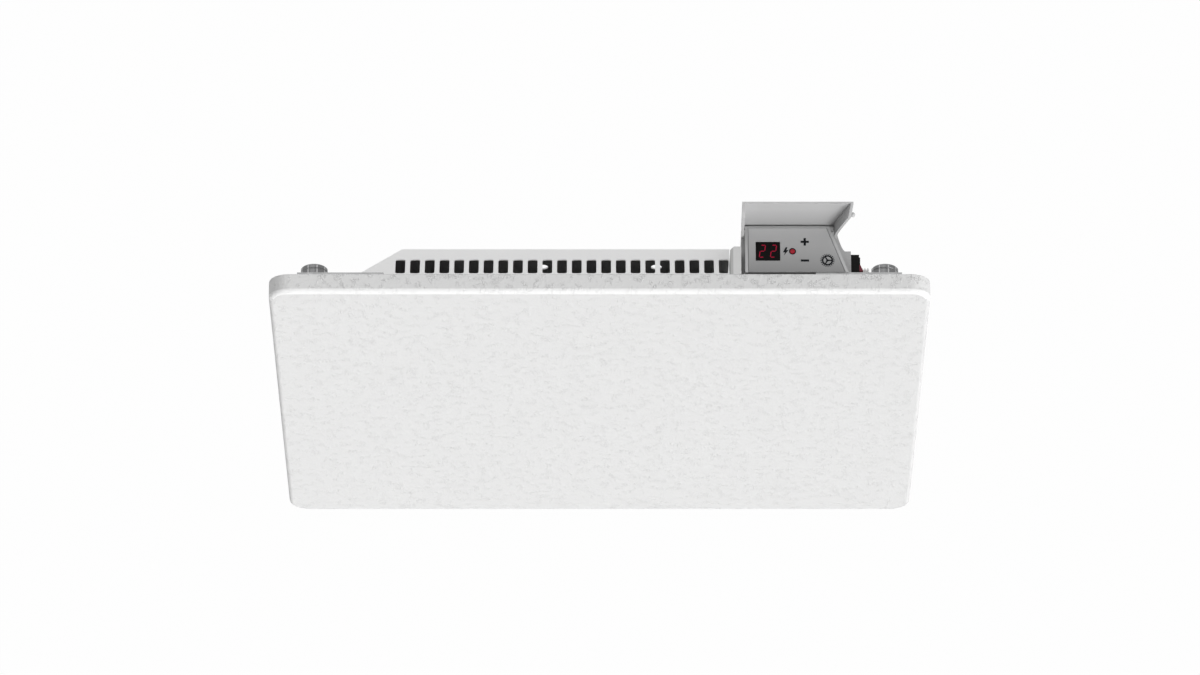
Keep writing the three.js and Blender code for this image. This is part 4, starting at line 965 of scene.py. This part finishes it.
@dataclass
class ControlUnit:
    """The grey control unit: housing, cover, marks, display, lamp and what is inside."""

    housing_round: float = 0.35 * MM
    cover_round: float = 0.18 * MM
    window_round: float = 0.12 * MM
    print_height: float = 0.06 * MM
    digit_height: float = 9.0 * MM
    digit_width: float = 3.1 * MM
    digit_pitch: float = 7.55 * MM
    digit_stroke: float = 0.62 * MM
    digit_gap: float = 0.45 * MM
    digit_slant: float = math.radians(8.0)
    sign_length: float = 5.6 * MM
    sign_stroke: float = 1.55 * MM
    flash_offset: float = -4.7 * MM
    flash_width: float = 4.5 * MM
    flash_length: float = 6.0 * MM
    lamp_radius: float = 1.75 * MM
    lamp_rise: tuple[Pair, ...] = ((0.0, 0.18 * MM), (0.55, 0.14 * MM), (0.9, 0.03 * MM), (1.0, -0.2 * MM))
    lamp_flange: float = 0.5 * MM
    lamp_foot: float = 1 * MM
    ring_width: float = 0.65 * MM
    ring_height: float = 0.08 * MM
    ring_gap: float = 0.02 * MM
    lamp_steps: int = 40
    gear_teeth: int = 20
    gear_tip: float = 4.9 * MM
    gear_outer: float = 3.75 * MM
    gear_inner: float = 2.75 * MM
    gear_hub: float = 0.9 * MM
    gear_spokes: int = 3
    spoke_half_width: float = 0.46 * MM
    face_z: float = field(default_factory=lambda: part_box("control_cover")[1].z)

    def build(self) -> None:
        """Makes every piece of the control unit that doesn't move."""
        ride(softened("control_housing", GREY_PLASTIC, self.housing_round), "body")
        ride(softened("control_cover", GREY_COVER, self.cover_round), "body")
        ride(softened("display_lens", WINDOW_DARK, self.window_round), "body")
        self._digits()
        self._lamp()
        self._plus()
        self._minus()
        self._flash()
        self._gear()
        for node in ("display_module", "relay", "transformer", "room_sensor"):
            dress(node, BLACK_PLASTIC)
        dress("circuit_board", BOARD_GREEN)
        for node in ("touch_spring_up", "touch_spring_down", "touch_spring_mode", "hinge_pin_left",
                     "hinge_pin_right"):
            dress(node, STEEL)
        for node in ("terminal_block", "gland_nut"):
            dress(node, WHITE_NYLON)

    def _above(self, node: str, across: float = 0.0) -> Vector:
        """A point on the control face over a piece below it.

        Args:
            node: the CAD node under the face.
            across: distance from the node's middle along X.

        Returns:
            The point.
        """
        middle = box_centre(node)
        return Vector((middle.x + across, middle.y, self.face_z))

    def _plate(self, bm: bmesh.types.BMesh, name: str, finish: Finish) -> bpy.types.Object:
        """Raises flat faces on the control face into a thin printed or lit layer.

        Args:
            bm: flat faces that point up.
            name: the piece's name.
            finish: its finish.

        Returns:
            The piece.
        """
        bmesh.ops.recalc_face_normals(bm, faces=bm.faces)
        for face in bm.faces:
            if face.normal.z < 0:
                face.normal_flip()
        rise = bmesh.ops.extrude_face_region(bm, geom=bm.faces[:])
        top = [v for v in rise["geom"] if isinstance(v, bmesh.types.BMVert)]
        bmesh.ops.translate(bm, vec=(0, 0, self.print_height), verts=top)
        bmesh.ops.recalc_face_normals(bm, faces=bm.faces)
        return finished(bm, name, finish)

    def _bar(self, bm: bmesh.types.BMesh, centre: Vector, width: float, length: float,
             slant: float = 0.0, pointed: float = 0.0) -> None:
        """Adds one flat bar, with optional pointed ends, lying on the face.

        Args:
            bm: where it goes.
            centre: its middle.
            width: its size along X.
            length: its size along Y.
            slant: shear of X with Y.
            pointed: length of each pointed end.
        """
        half_w, half_l = width / 2, length / 2
        if width >= length:
            outline = [(-half_w, 0), (-half_w + pointed, -half_l), (half_w - pointed, -half_l),
                       (half_w, 0), (half_w - pointed, half_l), (-half_w + pointed, half_l)]
        else:
            outline = [(0, -half_l), (half_w, -half_l + pointed), (half_w, half_l - pointed),
                       (0, half_l), (-half_w, half_l - pointed), (-half_w, -half_l + pointed)]
        shear = math.tan(slant)
        verts = [bm.verts.new(centre + Vector((x + y * shear, y, 0))) for x, y in outline]
        bm.faces.new(verts)

    def _digits(self) -> None:
        """Two red slanted seven-segment digits on the window."""
        window = box_centre("display_lens")
        half_h = self.digit_height / 2
        half_w = self.digit_width / 2
        quarter = half_h / 2
        shear = math.tan(self.digit_slant)
        places = {
            Segment.TOP: (0, half_h, True),
            Segment.MIDDLE: (0, 0, True),
            Segment.BOTTOM: (0, -half_h, True),
            Segment.TOP_LEFT: (-half_w, quarter, False),
            Segment.TOP_RIGHT: (half_w, quarter, False),
            Segment.BOTTOM_LEFT: (-half_w, -quarter, False),
            Segment.BOTTOM_RIGHT: (half_w, -quarter, False),
        }
        for index, side in enumerate((-1, 1)):
            middle = window.x + side * self.digit_pitch / 2
            bm = bmesh.new()
            for segment in TWO:
                x, y, flat = places[segment]
                centre = Vector((middle + x + y * shear, window.y + y, self.face_z))
                span = (self.digit_width if flat else half_h) - self.digit_gap
                width, length = (span, self.digit_stroke) if flat else (self.digit_stroke, span)
                slant = 0.0 if flat else self.digit_slant
                self._bar(bm, centre, width, length, slant, self.digit_stroke / 2)
            digit = self._plate(bm, f"display_digit_{index + 1}", DIGIT_RED)
            ride(digit, "body")

    def _lamp(self) -> None:
        """The red lamp's low dome and the dark ring round it."""
        low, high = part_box("indicator_led")
        centre = (low + high) / 2
        top, radius, flange = self.face_z, self.lamp_radius, self.lamp_radius + self.lamp_flange
        foot = low.z + self.lamp_foot
        dome = [(radius * share, top + rise) for share, rise in self.lamp_rise]
        dome += [(radius, foot), (flange, foot), (flange, low.z), (0.0, low.z)]
        lens = spun("indicator_led_lens", dome, centre, Axis.Z, self.lamp_steps, LAMP_RED, "indicator_led")
        ride(lens, "body")
        inner, outer = radius + self.ring_gap, radius + self.ring_width
        ring_top = top + self.ring_height
        outline = [(inner, top), (inner, ring_top), (outer, ring_top), (outer, top), (inner, top)]
        ring = spun("indicator_ring", outline, centre, Axis.Z, self.lamp_steps, PRINT_BLACK)
        ride(ring, "body")

    def _plus(self) -> None:
        """The printed plus sign of the upper key."""
        centre = self._above("touch_spring_up")
        arm, half = self.sign_length / 2, self.sign_stroke / 2
        bm = bmesh.new()
        corners = [(-half, -arm), (half, -arm), (half, -half), (arm, -half), (arm, half), (half, half),
                   (half, arm), (-half, arm), (-half, half), (-arm, half), (-arm, -half), (-half, -half)]
        bm.faces.new([bm.verts.new(centre + Vector((x, y, 0))) for x, y in corners])
        ride(self._plate(bm, "mark_plus", PRINT_BLACK), "body")

    def _minus(self) -> None:
        """The printed minus sign of the lower key."""
        bm = bmesh.new()
        self._bar(bm, self._above("touch_spring_down"), self.sign_length, self.sign_stroke)
        ride(self._plate(bm, "mark_minus", PRINT_BLACK), "body")

    def _flash(self) -> None:
        """The printed flash beside the lamp, from shares of its width and length."""
        centre = self._above("indicator_led", self.flash_offset)
        outline = [(-0.26, -0.5), (0.44, 0.14), (0.12, 0.14), (0.30, 0.5), (0.02, 0.5), (-0.40, -0.12),
                   (-0.08, -0.12)]
        bm = bmesh.new()
        bm.faces.new([bm.verts.new(centre + Vector((x * self.flash_width, y * self.flash_length, 0)))
                      for x, y in outline])
        ride(self._plate(bm, "mark_flash", PRINT_BLACK), "body")

    def _gear(self) -> None:
        """The printed toothed wheel of the settings key: rim, teeth, hub and spokes."""
        tooth_width = 0.45
        tip_start, tip_end = 0.04, 0.41
        spoke_start, spoke_end = self.gear_hub * 0.6, self.gear_inner * 1.02
        centre = self._above("touch_spring_mode")
        bm = bmesh.new()

        def point(radius: float, angle: float) -> bmesh.types.BMVert:
            """A new vertex at a radius and an angle about the wheel's centre."""
            return bm.verts.new(centre + Vector((radius * math.cos(angle), radius * math.sin(angle), 0)))

        step = math.tau / self.gear_teeth
        for index in range(self.gear_teeth):
            start = index * step
            angles = [start, start + tooth_width * step, start + step]
            inner = [point(self.gear_inner, a) for a in angles]
            outer = [point(self.gear_outer, a) for a in angles]
            tips = [point(self.gear_tip, start + share * step) for share in (tip_start, tip_end)]
            bm.faces.new([inner[0], outer[0], outer[1], inner[1]])
            bm.faces.new([inner[1], outer[1], outer[2], inner[2]])
            bm.faces.new([outer[0], tips[0], tips[1], outer[1]])
        bmesh.ops.remove_doubles(bm, verts=bm.verts, dist=SAME_POINT)
        for spoke in range(self.gear_spokes):
            angle = spoke * math.tau / self.gear_spokes
            along = Vector((math.cos(angle), math.sin(angle), 0))
            across = Vector((-along.y, along.x, 0)) * self.spoke_half_width
            start, end = centre + along * spoke_start, centre + along * spoke_end
            corners = (start - across, end - across, end + across, start + across)
            bm.faces.new([bm.verts.new(corner) for corner in corners])
        bmesh.ops.create_circle(bm, cap_ends=True, segments=18, radius=self.gear_hub,
                                matrix=Matrix.Translation(centre))
        ride(self._plate(bm, "mark_gear", PRINT_BLACK), "body")


@dataclass
class Lid:
    """The opened lid over the control face."""

    edge_round: float = 0.28 * MM

    def build(self) -> None:
        """Makes the lid's moulded skin on its own body."""
        ride(softened("lid", GREY_LID, self.edge_round, segments=3), "lid")


@dataclass
class Switch:
    """The rocker switch and the cable gland in the control unit's side."""

    red_length: float = 5.2 * MM
    body_round: float = 0.3 * MM
    rocker_round: float = 0.35 * MM
    gland_round: float = 0.15 * MM
    gland_angle: float = 50.0

    def build(self) -> None:
        """Makes the switch's body, its rocker and the gland."""
        ride(softened("switch_body", BLACK_PLASTIC, self.body_round), "body")
        ride(self._rocker(), "rocker")
        gland = softened("cable_gland", WHITE_NYLON, self.gland_round, segments=1,
                         least_angle=self.gland_angle)
        ride(gland, "body")

    def _rocker(self) -> bpy.types.Object:
        """The black rocker with its red front end.

        Returns:
            The rocker.
        """
        low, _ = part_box("switch_rocker")
        edge = low.y + self.red_length
        bm = merged_copy("switch_rocker")
        soften(bm, self.rocker_round, segments=3)
        bmesh.ops.bisect_plane(bm, geom=bm.verts[:] + bm.edges[:] + bm.faces[:], plane_co=(0, edge, 0),
                               plane_no=(0, 1, 0))
        for face in bm.faces:
            face.material_index = 0 if face.calc_center_median().y < edge else 1
        rocker = finished(bm, "switch_rocker_skin", RED_PLASTIC, BLACK_PLASTIC)
        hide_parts("switch_rocker")
        return rocker


@dataclass
class Element:
    """The heating element and what lies round it inside the casing."""

    def build(self) -> None:
        """Dresses the CAD pieces inside the casing."""
        dress("heating_element", FIN_METAL)
        dress("heat_shield", HEAT_GREY_AND_SHADE)
        dress("overheat_cutout", BLACK_PLASTIC)
        for node in ("element_bracket_left", "element_bracket_right"):
            dress(node, ZINC)
        for node in ("element_lead_live", "element_lead_neutral"):
            dress(node, LEAD_SLEEVE)


# --------------------------------------------------------------------- studio


@dataclass
class Studio:
    """Camera, plain floor, soft light and white surroundings."""

    camera_place: Vector = field(default_factory=lambda: Vector((0.0, -2.02056, 4.47689)))
    camera_pitch: float = math.radians(65.728)
    lens_mm: float = 208.67
    side_shift: float = 0.0004
    sensor_mm: float = 36.0
    floor_z: float = -1.4
    floor_half: float = 12.0
    floor_grey: float = 0.9
    floor_glow: float = 0.96
    world_strength: float = 0.5
    world_lean: tuple[float, float, float] = (0.3, 0.2, 0.0)
    key_strength: float = 2.15
    key_from: Vector = field(default_factory=lambda: Vector((0.43, -0.80, 0.32)))
    fill_strength: float = 0.38
    fill_from: Vector = field(default_factory=lambda: Vector((-0.2, 0.6, 0.77)))
    light_angle: float = math.radians(40.0)
    far_end: float = 60.0

    def build(self) -> None:
        """Builds the whole studio."""
        self._camera()
        self._floor()
        self._light()
        self._world()
        bpy.context.scene.view_settings.view_transform = "Standard"

    def _camera(self) -> None:
        """A long lens in front of the heater and well above it, as in the photograph."""
        data = bpy.data.cameras.new("camera")
        data.lens = self.lens_mm
        data.sensor_width = self.sensor_mm
        data.sensor_fit = "HORIZONTAL"
        data.shift_x = self.side_shift
        data.clip_end = self.far_end
        camera = bpy.data.objects.new("camera", data)
        camera.location = self.camera_place
        camera.rotation_euler = (math.pi / 2 - self.camera_pitch, 0, 0)
        bpy.context.scene.collection.objects.link(camera)
        bpy.context.scene.camera = camera

    def _floor(self) -> None:
        """A plain pale floor far below, which the camera sees as near white."""
        bm = bmesh.new()
        bmesh.ops.create_grid(bm, x_segments=1, y_segments=1, size=self.floor_half,
                              matrix=Matrix.Translation((0, 0, self.floor_z)))
        mesh = bpy.data.meshes.new("floor")
        bm.to_mesh(mesh)
        bm.free()
        floor = bpy.data.objects.new("floor", mesh)
        bpy.context.scene.collection.objects.link(floor)
        material = bpy.data.materials.new("floor_white")
        material.use_nodes = True
        tree = material.node_tree
        shader = tree.nodes["Principled BSDF"]
        grey = self.floor_grey
        fill_inputs(tree, shader, {"Base Color": (grey, grey, grey, 1.0), "Roughness": 0.9})
        white = add_node(tree, "ShaderNodeEmission", {"Strength": 1.0})
        mix = add_node(tree, "ShaderNodeMixShader", {
            "Fac": maths(tree, "MULTIPLY", self._seen_directly(tree), self.floor_glow),
            1: shader.outputs["BSDF"],
            2: white.outputs["Emission"],
        })
        fill_inputs(tree, tree.nodes["Material Output"], {"Surface": mix.outputs["Shader"]})
        mesh.materials.append(material)

    def _seen_directly(self, tree: Tree) -> Socket:
        """A value that is 1 for camera, glossy and transmission rays.

        Args:
            tree: the tree that it goes in.

        Returns:
            The value's socket.
        """
        path = add_node(tree, "ShaderNodeLightPath").outputs
        seen = maths(tree, "ADD", path["Is Camera Ray"], path["Is Glossy Ray"])
        return maths(tree, "ADD", seen, path["Is Transmission Ray"], clamp=True)

    def _light(self) -> None:
        """A soft key light from the front right and a weak fill from above and behind."""
        for name, strength, source in (("key", self.key_strength, self.key_from),
                                       ("fill", self.fill_strength, self.fill_from)):
            data = bpy.data.lights.new(name, "SUN")
            data.energy = strength
            data.angle = self.light_angle
            sun = bpy.data.objects.new(name, data)
            sun.rotation_euler = source.to_track_quat("Z", "Y").to_euler()
            bpy.context.scene.collection.objects.link(sun)

    def _world(self) -> None:
        """Surroundings that are white to the camera and light the object softly, more from one side."""
        world = bpy.data.worlds.new("studio")
        world.use_nodes = True
        tree = world.node_tree
        towards = add_node(tree, "ShaderNodeTexCoord").outputs["Generated"]
        lean = add_node(tree, "ShaderNodeVectorMath", {0: towards, 1: self.world_lean},
                        operation="DOT_PRODUCT")
        strength = add_node(tree, "ShaderNodeMix", {
            "Factor": self._seen_directly(tree),
            "A": maths(tree, "ADD", lean.outputs["Value"], self.world_strength),
            "B": 1.0,
        })
        fill_inputs(tree, tree.nodes["Background"],
                    {"Color": (1, 1, 1, 1), "Strength": strength.outputs["Result"]})
        bpy.context.scene.world = world


def main() -> None:
    """Builds the studio and every sub-assembly in order."""
    logging.basicConfig(level=logging.INFO, format="%(name)s: %(message)s")
    Studio().build()
    for assembly in (FrontPanel(), Casing(), WallPosts(), ControlUnit(), Lid(), Switch(), Element()):
        assembly.build()
        log.info("built %s", type(assembly).__name__)


if __name__ == "__main__":
    main()
